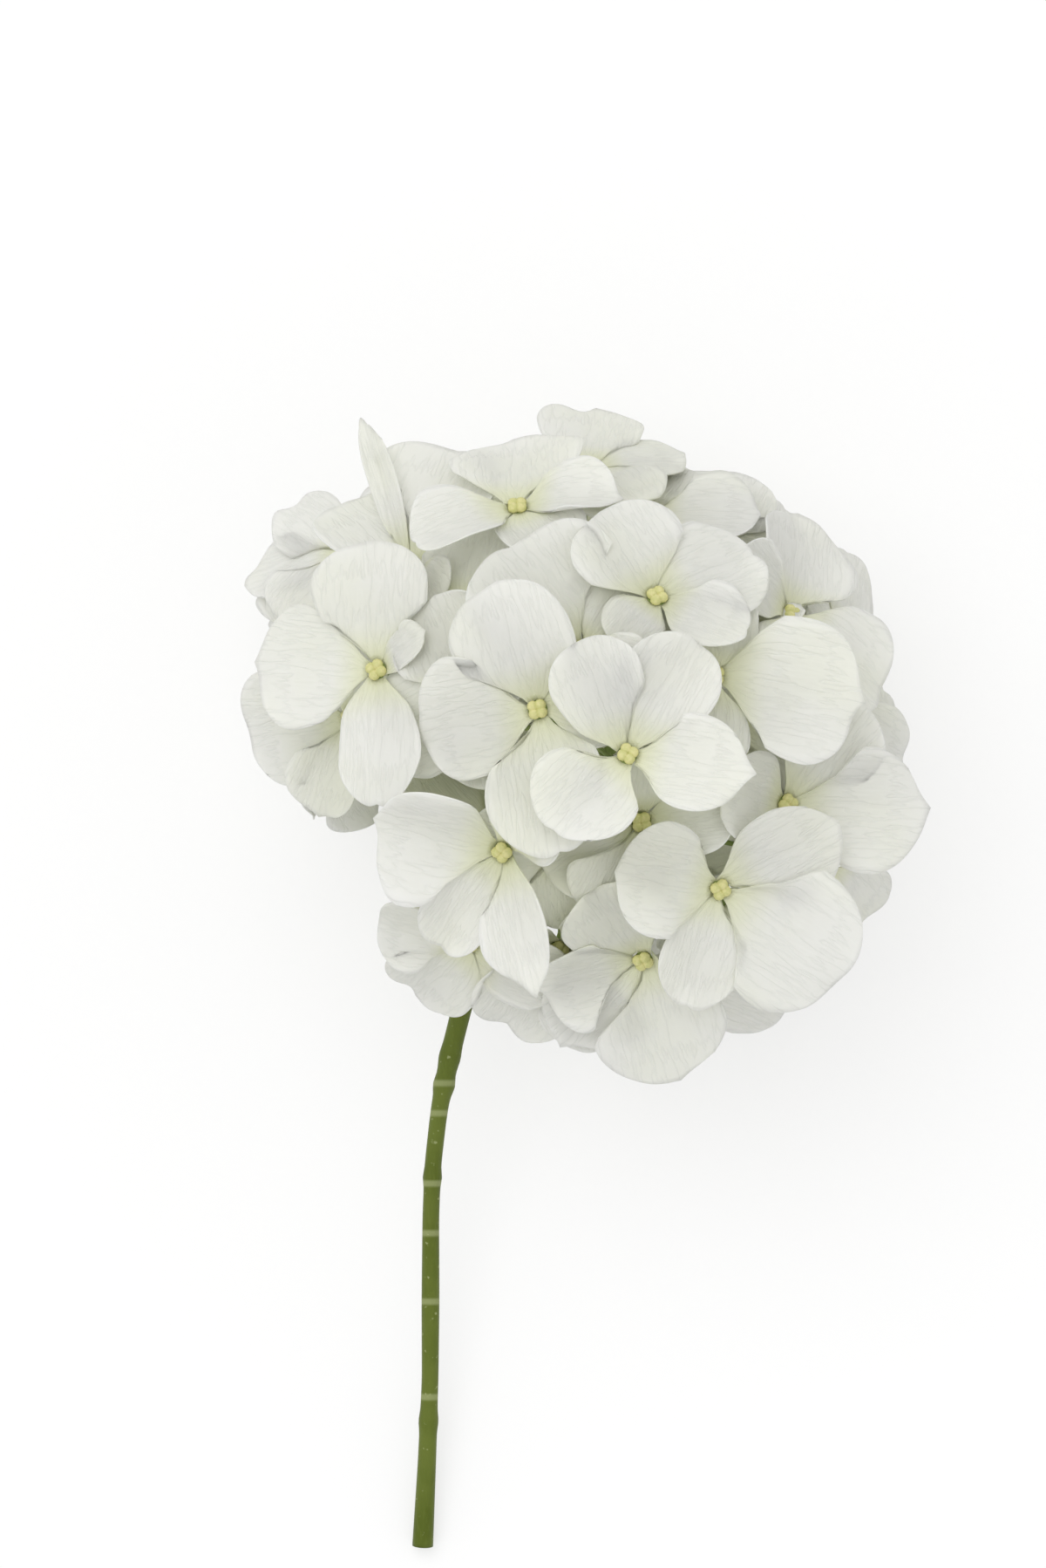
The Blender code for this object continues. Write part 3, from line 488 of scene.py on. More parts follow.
    def smoothed(self, grid: Point) -> Point:
        """The grid with each value drawn towards its neighbours."""
        return (1 - self.smoothing) * grid + self.smoothing * self.neighbours(grid)

    def settle(self) -> None:
        """Moves the petals in and out until each lies clear of its neighbours and of the surface."""
        rows = np.linspace(-1, 1, self.rows)
        columns = np.linspace(-1, 1, self.columns)
        rest = [
            np.array([[self.petal_point(petal, p, q) for q in columns] for p in rows])
            for petal in self.petals
        ]
        ways = [grid / np.linalg.norm(grid, axis=2, keepdims=True) for grid in rest]
        size = self.rows * self.columns
        faces = []
        for count in range(len(self.petals)):
            faces += sheet_faces(self.rows, self.columns, count * size)
        for _ in range(self.rounds):
            places = [g + w * petal.lifts[..., None] for g, w, petal in zip(rest, ways, self.petals)]
            points = np.concatenate(places).reshape(-1, 3).tolist()
            tree = BVHTree.FromPolygons(points, faces, all_triangles=True)
            for count, petal in enumerate(self.petals):
                push = np.zeros((self.rows, self.columns))
                for i in range(1, self.rows):
                    for j in range(self.columns):
                        way = ways[count][i, j]
                        radius = float(np.dot(places[count][i, j], way))
                        push[i, j] = self.push_on(petal, tree, Vector(way), radius, i)
                steep = self.most_slope * petal.length * self.widest_at * (1 + rows)
                most = np.minimum(self.most_lift, steep)[:, None]
                lift = petal.owner.lift
                petal.lifts = np.clip(self.smoothed(petal.lifts + push), lift - most, lift + most)
            for floret in self.florets:
                floret.lift = float(np.mean([petal.lifts[:2].mean() for petal in floret.parts]))
                for petal in floret.parts:
                    petal.lifts[0] = floret.lift
        for petal in self.petals:
            for _ in range(self.calm_rounds):
                around = self.neighbours(petal.lifts)
                petal.lifts[1:] = np.clip(petal.lifts, around - self.calm, around + self.calm)[1:]

    def push_on(self, petal: Petal, tree: BVHTree, way: Vector, radius: float, row: int) -> float:
        """How far one point has to move out, or in below zero.

        Args:
            petal: the petal that the point is on.
            tree: all petals.
            way: direction of the point from the centre of the head.
            radius: its distance from there.
            row: its row in the petal's grid.

        Returns:
            Half of the way to where it clears the sheets over and under it.
        """
        out = inward = 0.0
        travelled = max(radius - self.reach, 1.0)
        while travelled < radius + self.reach:
            left = radius + self.reach - travelled
            hit, _, index, distance = tree.ray_cast(way * travelled, way, left)
            if hit is None:
                break
            travelled += distance + 0.01
            other = self.petals[index // self.per_petal()]
            if other is petal:
                continue
            gap = self.gap
            if other.owner is petal.owner:
                gap = self.gap * min(1.0, max(0.0, (row - self.own_rows) / self.own_rows))
                if gap == 0.0:
                    continue
            if petal.order > other.order:
                out = max(out, travelled + gap - radius)
            else:
                inward = max(inward, radius - (travelled - gap))
        push = 0.5 * (out - inward)
        if way.z < -0.05:
            push = min(push, (FLOOR_DEPTH - self.petal_sheet) / -way.z - radius)
        return push


class Graph:
    """Short-hand for building one material's nodes."""

    def __init__(self, name: str) -> None:
        """Starts a material with its Principled shader."""
        self.material = bpy.data.materials.new(name)
        self.material.use_nodes = True
        self.tree = self.material.node_tree
        self.shader = self.tree.nodes["Principled BSDF"]

    def node(self, kind: str, **settings: Any) -> bpy.types.Node:
        """A new node with its properties set.

        Args:
            kind: the node's type.
            settings: names and values of its properties.

        Returns:
            The node.
        """
        made = self.tree.nodes.new(kind)
        for key, value in settings.items():
            setattr(made, key, value)
        return made

    def link(self, source: Any, target: Any) -> None:
        """Joins two sockets."""
        self.tree.links.new(source, target)

    def fill(self, socket: Any, value: Any) -> None:
        """Links or sets an input, as the value asks."""
        if isinstance(value, bpy.types.NodeSocket):
            self.link(value, socket)
        else:
            socket.default_value = value

    def math(self, operation: str, first: Any, second: Any = 0.0, clamp: bool = False) -> Any:
        """A math node.

        Args:
            operation: what it works out.
            first: socket or number.
            second: socket or number.
            clamp: whether the result is held between 0 and 1.

        Returns:
            Its output socket.
        """
        made = self.node("ShaderNodeMath", operation=operation, use_clamp=clamp)
        self.fill(made.inputs[0], first)
        self.fill(made.inputs[1], second)
        return made.outputs[0]

    def ramp(self, value: Any, low: float, high: float) -> Any:
        """A smooth step from 0 at low to 1 at high."""
        made = self.node("ShaderNodeMapRange", interpolation_type="SMOOTHSTEP", clamp=True)
        self.fill(made.inputs["Value"], value)
        made.inputs["From Min"].default_value = low
        made.inputs["From Max"].default_value = high
        return made.outputs[0]

    def mix(self, share: Any, first: Any, second: Any) -> Any:
        """A colour between two others.

        Args:
            share: socket or number, 0 for the first colour and 1 for the second.
            first: colour or socket.
            second: colour or socket.

        Returns:
            The colour's socket.
        """
        made = self.node("ShaderNodeMix", data_type="RGBA", clamp_factor=True)
        self.fill(made.inputs[0], share)
        self.fill(made.inputs[6], first)
        self.fill(made.inputs[7], second)
        return made.outputs[2]

    def noise(self, vector: Any, scale: float, detail: float = 3.0, roughness: float = 0.5) -> Any:
        """A noise texture's value.

        Args:
            vector: where it is read.
            scale: its scale.
            detail: its octaves.
            roughness: how strong the finer octaves are.

        Returns:
            The value's socket.
        """
        made = self.node("ShaderNodeTexNoise")
        self.link(vector, made.inputs["Vector"])
        made.inputs["Scale"].default_value = scale
        made.inputs["Detail"].default_value = detail
        made.inputs["Roughness"].default_value = roughness
        return made.outputs["Fac"]

    def object_place(self) -> Any:
        """Object coordinates."""
        return self.node("ShaderNodeTexCoord").outputs["Object"]

    def bump(self, height: Any, strength: float, distance: float) -> None:
        """Roughens the shader's normal.

        Args:
            height: the height's socket.
            strength: how much of it shows.
            distance: height of a value of one, in metres.
        """
        made = self.node("ShaderNodeBump")
        made.inputs["Strength"].default_value = strength
        made.inputs["Distance"].default_value = distance
        self.link(height, made.inputs["Height"])
        self.link(made.outputs["Normal"], self.shader.inputs[Socket.NORMAL.value])

    def set(self, socket: Socket, value: Any) -> None:
        """Links or sets one of the shader's sockets."""
        self.fill(self.shader.inputs[socket.value], value)


@dataclass(frozen=True)
class PetalFinish:
    """White petal: green-yellow at the hub, a cream-green deeper in the head that is partly the inner petals'
    own tone and partly painted crevice shade, fine veins that fan out, a soft grain.

    Noise scales are in waves per petal for veins and folds, and per metre for clouds and grain.
    """

    centre: Place
    # innermost to outermost: distances from the centre of the head over which the cream-green fades out,
    # partly the inner petals' own tone and partly painted crevice shade
    innermost: float = 0.052
    outermost: float = 0.071
    inner_tone_and_crevice_shade_share: float = 0.85
    hub_until: float = 0.38
    hub_share: float = 0.7
    vein_share: float = 0.22
    vein_width: float = 0.06
    vein_scale: Range = (15.0, 2.6)
    fold_scale: Range = (9.0, 1.6)
    cloud_scale: float = 34.0
    cloud_edges: Range = (0.38, 0.68)
    grain_scale: float = 2600.0
    heights: tuple[float, ...] = (1.5, 0.8, -0.35, 0.04)
    bump_strength: float = 0.45
    bump_height: float = 0.0007
    name: str = "hydrangea_petal"
    white: Colour = (0.87, 0.87, 0.81, 1.0)
    cream: Colour = (0.85, 0.86, 0.74, 1.0)
    # inner: cream-green that is partly the inner petals' own tone and partly painted shade, the greenish
    # shade of the crevices between florets
    inner: Colour = (0.88, 0.90, 0.66, 1.0)
    hub: Colour = (0.76, 0.79, 0.40, 1.0)
    vein: Colour = (0.70, 0.72, 0.66, 1.0)
    roughness: float = 0.55
    specular: float = 0.3
    subsurface: float = 0.6
    subsurface_scale: float = 0.003

    def fan(self, graph: Graph, across: Any, along: Any, scale: Range) -> Any:
        """Noise drawn out along the petal.

        Args:
            graph: the material's nodes.
            across: place from side to side.
            along: place from hub to tip.
            scale: waves across and along.

        Returns:
            The noise's socket.
        """
        spread = graph.node("ShaderNodeCombineXYZ")
        graph.link(graph.math("MULTIPLY", across, scale[0]), spread.inputs[0])
        graph.link(graph.math("MULTIPLY", along, scale[1]), spread.inputs[1])
        return graph.noise(spread.outputs[0], 1.0, 2.0)

    def material(self) -> bpy.types.Material:
        """Builds the material.

        Returns:
            The material.
        """
        graph = Graph(self.name)
        uv = graph.node("ShaderNodeUVMap", uv_map=PETAL_UV).outputs[0]
        parts = graph.node("ShaderNodeSeparateXYZ")
        graph.link(uv, parts.inputs[0])
        across, along = parts.outputs[0], parts.outputs[1]
        centred = graph.math("SUBTRACT", across, 0.5)
        bowed = graph.math("MULTIPLY", graph.math("MULTIPLY", centred, centred), 0.5)
        reach = graph.math("ADD", along, bowed)
        fibres = self.fan(graph, across, reach, self.vein_scale)
        folds = self.fan(graph, across, reach, self.fold_scale)
        off = graph.math("ABSOLUTE", graph.math("SUBTRACT", fibres, 0.5))
        lines = graph.ramp(off, self.vein_width, 0.0)
        place = graph.object_place()
        cloud = graph.noise(place, self.cloud_scale)
        grain = graph.noise(place, self.grain_scale, 2.0, 0.6)
        ground = graph.mix(graph.ramp(cloud, *self.cloud_edges), self.white, self.cream)
        near_hub = graph.math("SUBTRACT", 1.0, graph.ramp(along, 0.0, self.hub_until))
        veined = graph.mix(graph.math("MULTIPLY", lines, self.vein_share), ground, self.vein)
        # Cream-green towards the centre of the head, where the crevices between florets are: partly the inner
        # petals' own tone, partly painted crevice shade.
        away = graph.node("ShaderNodeVectorMath", operation="DISTANCE")
        graph.link(place, away.inputs[0])
        away.inputs[1].default_value = self.centre
        inner_tone_and_shade_mask = graph.ramp(away.outputs["Value"], self.outermost, self.innermost)
        inner_tone_and_crevice_shade = graph.mix(graph.math("MULTIPLY", inner_tone_and_shade_mask, self.inner_tone_and_crevice_shade_share), veined, self.inner)
        colour = graph.mix(graph.math("MULTIPLY", near_hub, self.hub_share), inner_tone_and_crevice_shade, self.hub)
        graph.set(Socket.COLOUR, colour)
        graph.set(Socket.ROUGHNESS, self.roughness)
        graph.set(Socket.SPECULAR, self.specular)
        graph.set(Socket.SUBSURFACE, self.subsurface)
        graph.set(Socket.SUBSURFACE_SCALE, self.subsurface_scale)
        graph.set(Socket.SUBSURFACE_RADIUS, (1.0, 1.0, 1.0))
        height: Any = 0.0
        for texture, share in zip((folds, fibres, lines, grain), self.heights):
            height = graph.math("ADD", height, graph.math("MULTIPLY", texture, share))
        graph.bump(height, self.bump_strength, self.bump_height)
        return graph.material


@dataclass(frozen=True)
class BudFinish:
    """Pale yellow bud with a greener seam between its lobes."""

    name: str = "hydrangea_bud"
    top: Colour = (0.72, 0.68, 0.32, 1.0)
    low: Colour = (0.60, 0.60, 0.24, 1.0)
    spot_scale: float = 900.0
    spot_edges: Range = (0.35, 0.65)
    skin_scale: float = 1800.0
    bump_strength: float = 0.4
    bump_height: float = 0.0003
    roughness: float = 0.6

    def material(self) -> bpy.types.Material:
        """Builds the material.

        Returns:
            The material.
        """
        graph = Graph(self.name)
        place = graph.object_place()
        spots = graph.noise(place, self.spot_scale, 3.0, 0.6)
        graph.set(Socket.COLOUR, graph.mix(graph.ramp(spots, *self.spot_edges), self.low, self.top))
        graph.set(Socket.ROUGHNESS, self.roughness)
        skin = graph.noise(place, self.skin_scale, 3.0, 0.6)
        graph.bump(skin, self.bump_strength, self.bump_height)
        return graph.material


@dataclass(frozen=True)
class StalkFinish:
    """Green rind of a stem or stalk: long streaks, pale flecks and fine ridges."""

    name: str
    dark: Colour
    light: Colour
    rings: tuple[float, ...] = ()
    fleck: Colour = (0.42, 0.46, 0.22, 1.0)
    roughness: float = 0.45
    specular: float = 0.2
    drawn_out: Place = (1.0, 0.09, 1.0)
    streak_scale: float = 1500.0
    streak_edges: Range = (0.45, 0.75)
    streak_share: float = 0.5
    cloud_scale: float = 60.0
    cloud_edges: Range = (0.3, 0.7)
    fleck_scale: float = 700.0
    fleck_edges: Range = (0.66, 0.76)
    fleck_share: float = 0.6
    ring_edges: Range = (0.0011, 0.0003)
    ring_share: float = 0.5
    bump_strength: float = 0.5
    bump_height: float = 0.0004

    def material(self) -> bpy.types.Material:
        """Builds the material.

        Returns:
            The material.
        """
        graph = Graph(self.name)
        place = graph.object_place()
        stretch = graph.node("ShaderNodeMapping")
        stretch.inputs["Scale"].default_value = self.drawn_out
        graph.link(place, stretch.inputs["Vector"])
        streaks = graph.noise(stretch.outputs[0], self.streak_scale, 4.0, 0.6)
        cloud = graph.noise(place, self.cloud_scale)
        flecks = graph.ramp(graph.noise(place, self.fleck_scale, 2.0), *self.fleck_edges)
        body = graph.mix(graph.ramp(cloud, *self.cloud_edges), self.dark, self.light)
        streaked = graph.math("MULTIPLY", graph.ramp(streaks, *self.streak_edges), self.streak_share)
        body = graph.mix(streaked, body, self.light)
        apart = graph.node("ShaderNodeSeparateXYZ")
        graph.link(place, apart.inputs[0])
        for ring in self.rings:
            off = graph.math("ABSOLUTE", graph.math("SUBTRACT", apart.outputs[1], ring))
            banded = graph.math("MULTIPLY", graph.ramp(off, *self.ring_edges), self.ring_share)
            body = graph.mix(banded, body, self.fleck)
        flecked = graph.math("MULTIPLY", flecks, self.fleck_share)
        graph.set(Socket.COLOUR, graph.mix(flecked, body, self.fleck))
        graph.set(Socket.ROUGHNESS, self.roughness)
        graph.set(Socket.SPECULAR, self.specular)
        graph.bump(streaks, self.bump_strength, self.bump_height)
        return graph.material


def rim_edges(bm: bmesh.types.BMesh, ring: list[bmesh.types.BMVert]) -> list[bmesh.types.BMEdge]:
    """The edges of a mesh that join two points of a ring."""
    return [edge for edge in bm.edges if edge.verts[0] in ring and edge.verts[1] in ring]


@dataclass
class Workshop:
    """Turns shapes laid out in millimetres from the centre of the head into pieces of the model."""

    centre: Vector

    def place(self, point: Point) -> Vector:
        """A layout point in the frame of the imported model, in metres."""
        return Vector(point) * MM + self.centre

    def tube(self, bm: bmesh.types.BMesh, route: Point, radii: Point, sides: int, slot: int = 0) -> None:
        """Draws a closed round stalk along a route.

        Args:
            bm: the mesh it is added to.
            route: points of its middle line.
            radii: one radius for each point.
            sides: number of sides.
            slot: material slot of its faces.
        """
        tangents = np.gradient(route, axis=0)
        across = np.cross(tangents[0], ACROSS)
        ring: list[bmesh.types.BMVert] = []
        known = set(bm.faces)
        for count, (point, tangent, radius) in enumerate(zip(route, tangents, radii)):
            way = unit(tangent)
            across = unit(across - np.dot(across, way) * way)
            basis = Matrix((across, np.cross(way, across), way)).transposed().to_4x4()
            turned = Matrix.Translation(self.place(point)) @ basis
            if count == 0:
                made = bmesh.ops.create_circle(
                    bm, cap_ends=True, segments=sides, radius=radius * MM, matrix=turned
                )
                ring = made["verts"]
            else:
                grown = bmesh.ops.extrude_edge_only(bm, edges=rim_edges(bm, ring))["geom"]
                ring = [item for item in grown if isinstance(item, bmesh.types.BMVert)]
                step = turned @ last.inverted()
                scale = radius / last_radius
                resize = last @ Matrix.Diagonal((scale, scale, 1, 1)) @ last.inverted()
                bmesh.ops.transform(bm, matrix=step @ resize, verts=ring)
            last, last_radius = turned, radius
        bmesh.ops.edgeloop_fill(bm, edges=rim_edges(bm, ring))
        fresh = [face for face in bm.faces if face not in known]
        bmesh.ops.recalc_face_normals(bm, faces=fresh)
        for face in fresh:
            face.material_index = slot
            face.smooth = len(face.verts) == 4

    def piece(self, name: str, bm: bmesh.types.BMesh, finishes: list[bpy.types.Material]) -> bpy.types.Object:
        """Makes a piece that rides on the model.

        Args:
            name: the piece's name.
            bm: its mesh, which is freed.
            finishes: its materials, one for each slot.

        Returns:
            The piece.
        """
        mesh = bpy.data.meshes.new(name)
        bm.to_mesh(mesh)
        bm.free()
        for finish in finishes:
            mesh.materials.append(finish)
        thing = bpy.data.objects.new(name, mesh)
        bpy.context.scene.collection.objects.link(thing)
        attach(thing, "root")
        return thing


@dataclass
class Stem:
    """The bare stem, with its rings, and the rays that it forks into."""

    stations: tuple[tuple[float, float, float, float], ...] = (
        # x, y, height over the surface, radius
        (-36.4, -187.4, 2.5, 2.45),
        (-35.4, -168.0, 6.2, 2.15),
        (-34.6, -148.0, 10.1, 1.95),
        (-34.5, -130.0, 13.8, 2.1),
        (-34.4, -110.0, 17.9, 1.95),
        (-33.9, -98.0, 20.5, 1.95),
        (-32.4, -85.0, 23.6, 2.0),
        (-30.0, -73.0, 26.8, 2.3),
        (-27.0, -61.0, 30.3, 2.35),
        (-22.0, -45.0, 35.5, 2.3),
        (-15.0, -28.0, 41.6, 2.3),
        (-8.6, -16.0, 45.9, 2.4),
    )
    rings: tuple[float, ...] = (-79.0, -86.0, -102.4, -114.0, -130.0, -152.4)
    swellings: tuple[Place, ...] = (
        (-158.0, 0.28, 2.0),
        (-101.0, 0.3, 1.6),
        (-79.5, 0.45, 1.8),
        (-73.0, 0.3, 2.2),
    )
    fork: Place = (-7.0, -13.0, -6.0)
    fork_radius: float = 3.6
    knob: tuple[Range, ...] = ((-1.2, 3.2), (1.6, 3.2), (3.0, 1.8))  # place past the fork, radius
    plain_sides: int = 12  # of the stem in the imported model
    step: float = 1.2
    smoothings: int = 6
    sides: int = 28
    ray_stations: int = 14
    ray_sides: int = 14
    ray_leave: float = 16.0
    ray_arrive: float = 10.0
    tips: tuple[Place, ...] = (
        (-36.0, 22.0, 4.0),
        (-2.0, 38.0, 10.0),
        (34.0, 18.0, 4.0),
        (24.0, -22.0, 8.0),
        (0.0, 4.0, 30.0),
        (-9.0, -27.0, 14.0),
        (6.0, 8.0, -26.0),
    )

    def low_corner(self) -> Vector:
        """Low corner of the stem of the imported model, which its cut end gives."""
        table = np.array(self.stations)
        way = table[1, :3] - table[0, :3]
        first = unit(np.cross(way, ACROSS))
        second = np.cross(unit(way), first)
        turns = np.arange(self.plain_sides)[:, None] * 2 * math.pi / self.plain_sides
        ring = table[0, :3] + table[0, 3] * (np.cos(turns) * first + np.sin(turns) * second)
        return Vector(ring.min(axis=0)) - Vector((0.0, 0.0, FLOOR_DEPTH))

    def ray_routes(self, stations: int = 5) -> list[Point]:
        """Middle lines of the rays."""
        fork = np.array(self.fork)
        routes = []
        for tip in self.tips:
            end = np.array(tip)
            way = unit(end - fork)
            start = fork + way * (self.fork_radius + CLEARANCE)
            leave, arrive = fork + way * self.ray_leave, end - unit(end) * self.ray_arrive
            routes.append(bezier(start, leave, arrive, end, stations))
        return routes

    def build(self, workshop: Workshop, finish: bpy.types.Material, ray_finish: bpy.types.Material) -> None:
        """Makes the stem and the rays.

        Args:
            workshop: makes the pieces.
            finish: material of the stem.
            ray_finish: material of the rays.
        """
        table = np.array(self.stations)
        ys = np.arange(table[0, 1], table[-1, 1], self.step)
        smooth = [np.interp(ys, table[:, 1], table[:, k]) for k in (0, 2, 3)]
        for _ in range(self.smoothings):
            for column in smooth:
                column[1:-1] = 0.5 * column[1:-1] + 0.25 * (column[:-2] + column[2:])
        radii = smooth[2]
        for y, extra, reach in self.swellings:
            radii = radii + extra * np.exp(-(((ys - y) / reach) ** 2))
        route = np.column_stack((smooth[0], ys, smooth[1] - FLOOR_DEPTH))
        fork = np.array(self.fork)
        way = unit(fork - route[-1])
        route = np.vstack((route, [fork + way * past for past, _ in self.knob]))
        radii = np.concatenate((radii, [radius for _, radius in self.knob]))
        bm = bmesh.new()
        workshop.tube(bm, route, radii, self.sides)
        piece = workshop.piece("stem_rind", bm, [finish])
        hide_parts("stem")
        LOG.info("stem: %d stations", len(route))
        thick, thin = RAY_RADIUS, RAY_RADIUS * (1 - RAY_TAPER)
        for count, ray in enumerate(self.ray_routes(self.ray_stations), start=1):
            bm = bmesh.new()
            workshop.tube(bm, ray, np.linspace(thick, thin, self.ray_stations), self.ray_sides)
            piece = workshop.piece(f"ray_{count}_rind", bm, [ray_finish])
            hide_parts(f"ray_{count}")
        LOG.info("rays: %d", len(self.tips))


@dataclass
class Stalks:
    """The thin stalks between the rays and the florets."""

    radius: float = 0.62
    calyx_depth: float = 2.6
    leans: tuple[float, ...] = (0.25, 0.45)
    shares: tuple[float, ...] = (1.0, 0.9, 0.8, 0.7, 0.6, 0.5, 0.4)
    along_ray: float = 0.8
    arrive: float = 0.25
    points: int = 12
    crossing_cost: float = 30.0  # in millimetres of extra stalk

    def route(self, floret: Floret, ray: Point, share: float, lean: float) -> Point:
        """Middle line of a stalk from the calyx to just short of a ray.

        Args:
            floret: the floret it carries.
            ray: middle line of the ray.
            share: where on the ray it starts.
            lean: how straight it leaves the calyx.

        Returns:
            The middle line.
        """
        top = floret.settled_hub() - self.calyx_depth * floret.axis
        at = share * (len(ray) - 1)
        low = min(int(at), len(ray) - 2)
        point = ray[low] * (1 - at + low) + ray[low + 1] * (at - low)
        way = unit(ray[low + 1] - ray[low])
        away = top - point
        away = unit(away - np.dot(away, way) * way)
        radius = RAY_RADIUS * (1 - RAY_TAPER * share)
        foot = point + away * (radius + CLEARANCE)
        reach = np.linalg.norm(top - foot)
        leave = top - floret.axis * reach * lean
        arrive = foot + (away + self.along_ray * way) * reach * self.arrive
        return bezier(top, leave, arrive, foot, self.points)

    def choose(self, layout: Layout, rays: list[Point]) -> dict[str, Point]:
        """A stalk for each floret, along the way that crosses the fewest petals.

        Args:
            layout: the settled florets.
            rays: middle lines of the rays.

        Returns:
            The middle line for each floret's name.
        """
        points, faces = [], []
        rows, columns = np.linspace(-1, 1, layout.rows), np.linspace(-1, 1, layout.columns)
        for petal in layout.petals:
            faces += sheet_faces(layout.rows, layout.columns, len(points))
            points += [tuple(layout.settled_point(petal, p, q)) for p in rows for q in columns]
        tree = BVHTree.FromPolygons(points, faces, all_triangles=True)
        chosen = {}
        for floret in layout.florets:
            best: tuple[float, Point] = (math.inf, np.zeros((2, 3)))
            for ray in rays:
                for share in self.shares:
                    for lean in self.leans:
                        route = self.route(floret, ray, share, lean)
                        steps = np.diff(route, axis=0)
                        lengths = np.linalg.norm(steps, axis=1)
                        cost = float(lengths.sum())
                        if cost > best[0]:
                            continue
                        for point, step, length in zip(route, steps, lengths):
                            hit, _, index, _ = tree.ray_cast(Vector(point), Vector(step), float(length))
                            if hit is None:
                                continue
                            if layout.petals[index // layout.per_petal()].owner is not floret:
                                cost += self.crossing_cost
                        if cost < best[0]:
                            best = (cost, route)
            chosen[floret.name] = best[1]
        return chosen


@dataclass
class Bloom:
    """Builds each floret's petals, bud, calyx and stalk."""

    layout: Layout
    stalks: Stalks
    sheet: float = 0.34
    length_cuts: int = 20
    width_cuts: int = 16
    ruffle_from: float = 0.35
    ruffles: tuple[Place, ...] = ((5.0, 1.0, 1.0), (11.0, 0.6, 2.1))
    unevenness: tuple[Place, ...] = ((3.0, 0.075, 1.7), (7.0, 0.03, 1.0))
    crease_width: float = 0.16
    crease_depth: float = 0.35
    turn_centre: float = 1.05
    bud_radius: float = 2.35
    bud_lobes: int = 4
    bud_segments: tuple[int, int] = (10, 7)
    lobe_out: float = 0.5  # of the bud's radius
    lobe_size: float = 0.58
    lobe_lift: float = 0.75
    lobe_height: float = 0.95
    calyx: tuple[Range, ...] = ((0.1, 2.25), (0.9, 1.75), (1.8, 1.2))  # depth, radius
    neck: float = 0.95
    stalk_sides: int = 12

    def fine_point(self, petal: Petal, p: float, q: float) -> Point:
        """A point of the finished petal: the settled sheet with ruffled edges and a crease down the middle.

        Args:
            petal: the petal.
            p: from -1 at the hub to 1 at the tip.
            q: from -1 at one edge to 1 at the other.

        Returns:
            The point, in millimetres from the centre of the head.
        """
        layout = self.layout
        point = layout.settled_point(petal, p, q)
        rim = max(abs(q), p)
        edge = max(0.0, (rim - self.ruffle_from) / (1 - self.ruffle_from)) ** 2
        turn = math.atan2(q, p + self.turn_centre)
        wave = ripple(self.ruffles, turn, petal.phase)
        crease = math.exp(-((q / self.crease_width) ** 2)) * max(0.0, 1 - abs(p))
        lift = petal.ruffle * edge * wave * (p + 1) / 2 - self.crease_depth * crease
        uneven = ripple(self.unevenness, turn, petal.phase)
        point = point + edge * uneven * (point - layout.settled_point(petal, 0.0, 0.0))
        point = point + petal.owner.axis * lift
        point[2] = max(point[2], 0.5 * self.sheet - FLOOR_DEPTH)
        return point

    def petals(self, workshop: Workshop, floret: Floret, finish: bpy.types.Material) -> bpy.types.Object:
        """The four petals of a floret as one piece.

        Args:
            workshop: makes the piece.
            floret: the floret.
            finish: material of the petals.

        Returns:
            The piece.
        """
        bm = bmesh.new()
        uv_layer = bm.loops.layers.uv.new(PETAL_UV)
        for petal in floret.parts:
            known = set(bm.faces)
            grid = bmesh.ops.create_grid(
                bm, x_segments=self.length_cuts, y_segments=self.width_cuts, size=1.0
            )
            fresh = [face for face in bm.faces if face not in known]
            spots = {vert: (vert.co.x, vert.co.y) for vert in grid["verts"]}
            for face in fresh:
                face.smooth = True
                for loop in face.loops:
                    along, across = self.layout.outline(*spots[loop.vert])
                    loop[uv_layer].uv = (0.5 + across / 2, along)
            for vert, (p, q) in spots.items():
                vert.co = workshop.place(self.fine_point(petal, p, q))
        piece = workshop.piece(f"{floret.name}_petals", bm, [finish])
        solid = piece.modifiers.new("sheet", "SOLIDIFY")
        solid.thickness = self.sheet * MM
        solid.offset = 0.0
        solid.use_even_offset = False
        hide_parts(floret.name)
        return piece

    def heart(
        self,
        workshop: Workshop,
        floret: Floret,
        route: Point,
        bud: bpy.types.Material,
        green: bpy.types.Material,
    ) -> bpy.types.Object:
        """Bud, calyx and stalk of a floret as one piece.

        Args:
            workshop: makes the piece.
            floret: the floret.
            route: middle line of its stalk.
            bud: material of the bud.
            green: material of the calyx and stalk.

        Returns:
            The piece.
        """
        bm = bmesh.new()
        hub = floret.settled_hub()
        axis = floret.axis
        first, second = floret.directions()
        turn = math.radians(floret.parts[0].angle + 180.0 / self.bud_lobes)
        out, size = self.lobe_out * self.bud_radius, self.lobe_size * self.bud_radius
        across, up = self.bud_segments
        for lobe in range(self.bud_lobes):
            way = turn + 2 * math.pi * lobe / self.bud_lobes
            middle = hub + out * (math.cos(way) * first + math.sin(way) * second)
            made = bmesh.ops.create_uvsphere(bm, u_segments=across, v_segments=up, radius=size)
            for vert in made["verts"]:
                spot = middle + vert.co.x * first + vert.co.y * second
                vert.co = workshop.place(spot + axis * (self.lobe_lift + self.lobe_height * vert.co.z))
        for face in bm.faces:
            face.smooth = True
        path = np.vstack(([hub - axis * depth for depth, _ in self.calyx], route))
        radii = [radius for _, radius in self.calyx] + [self.neck] + [self.stalks.radius] * (len(route) - 1)
        workshop.tube(bm, path, np.array(radii), self.stalk_sides, slot=1)
        piece = workshop.piece(f"{floret.name}_heart", bm, [bud, green])
        return piece


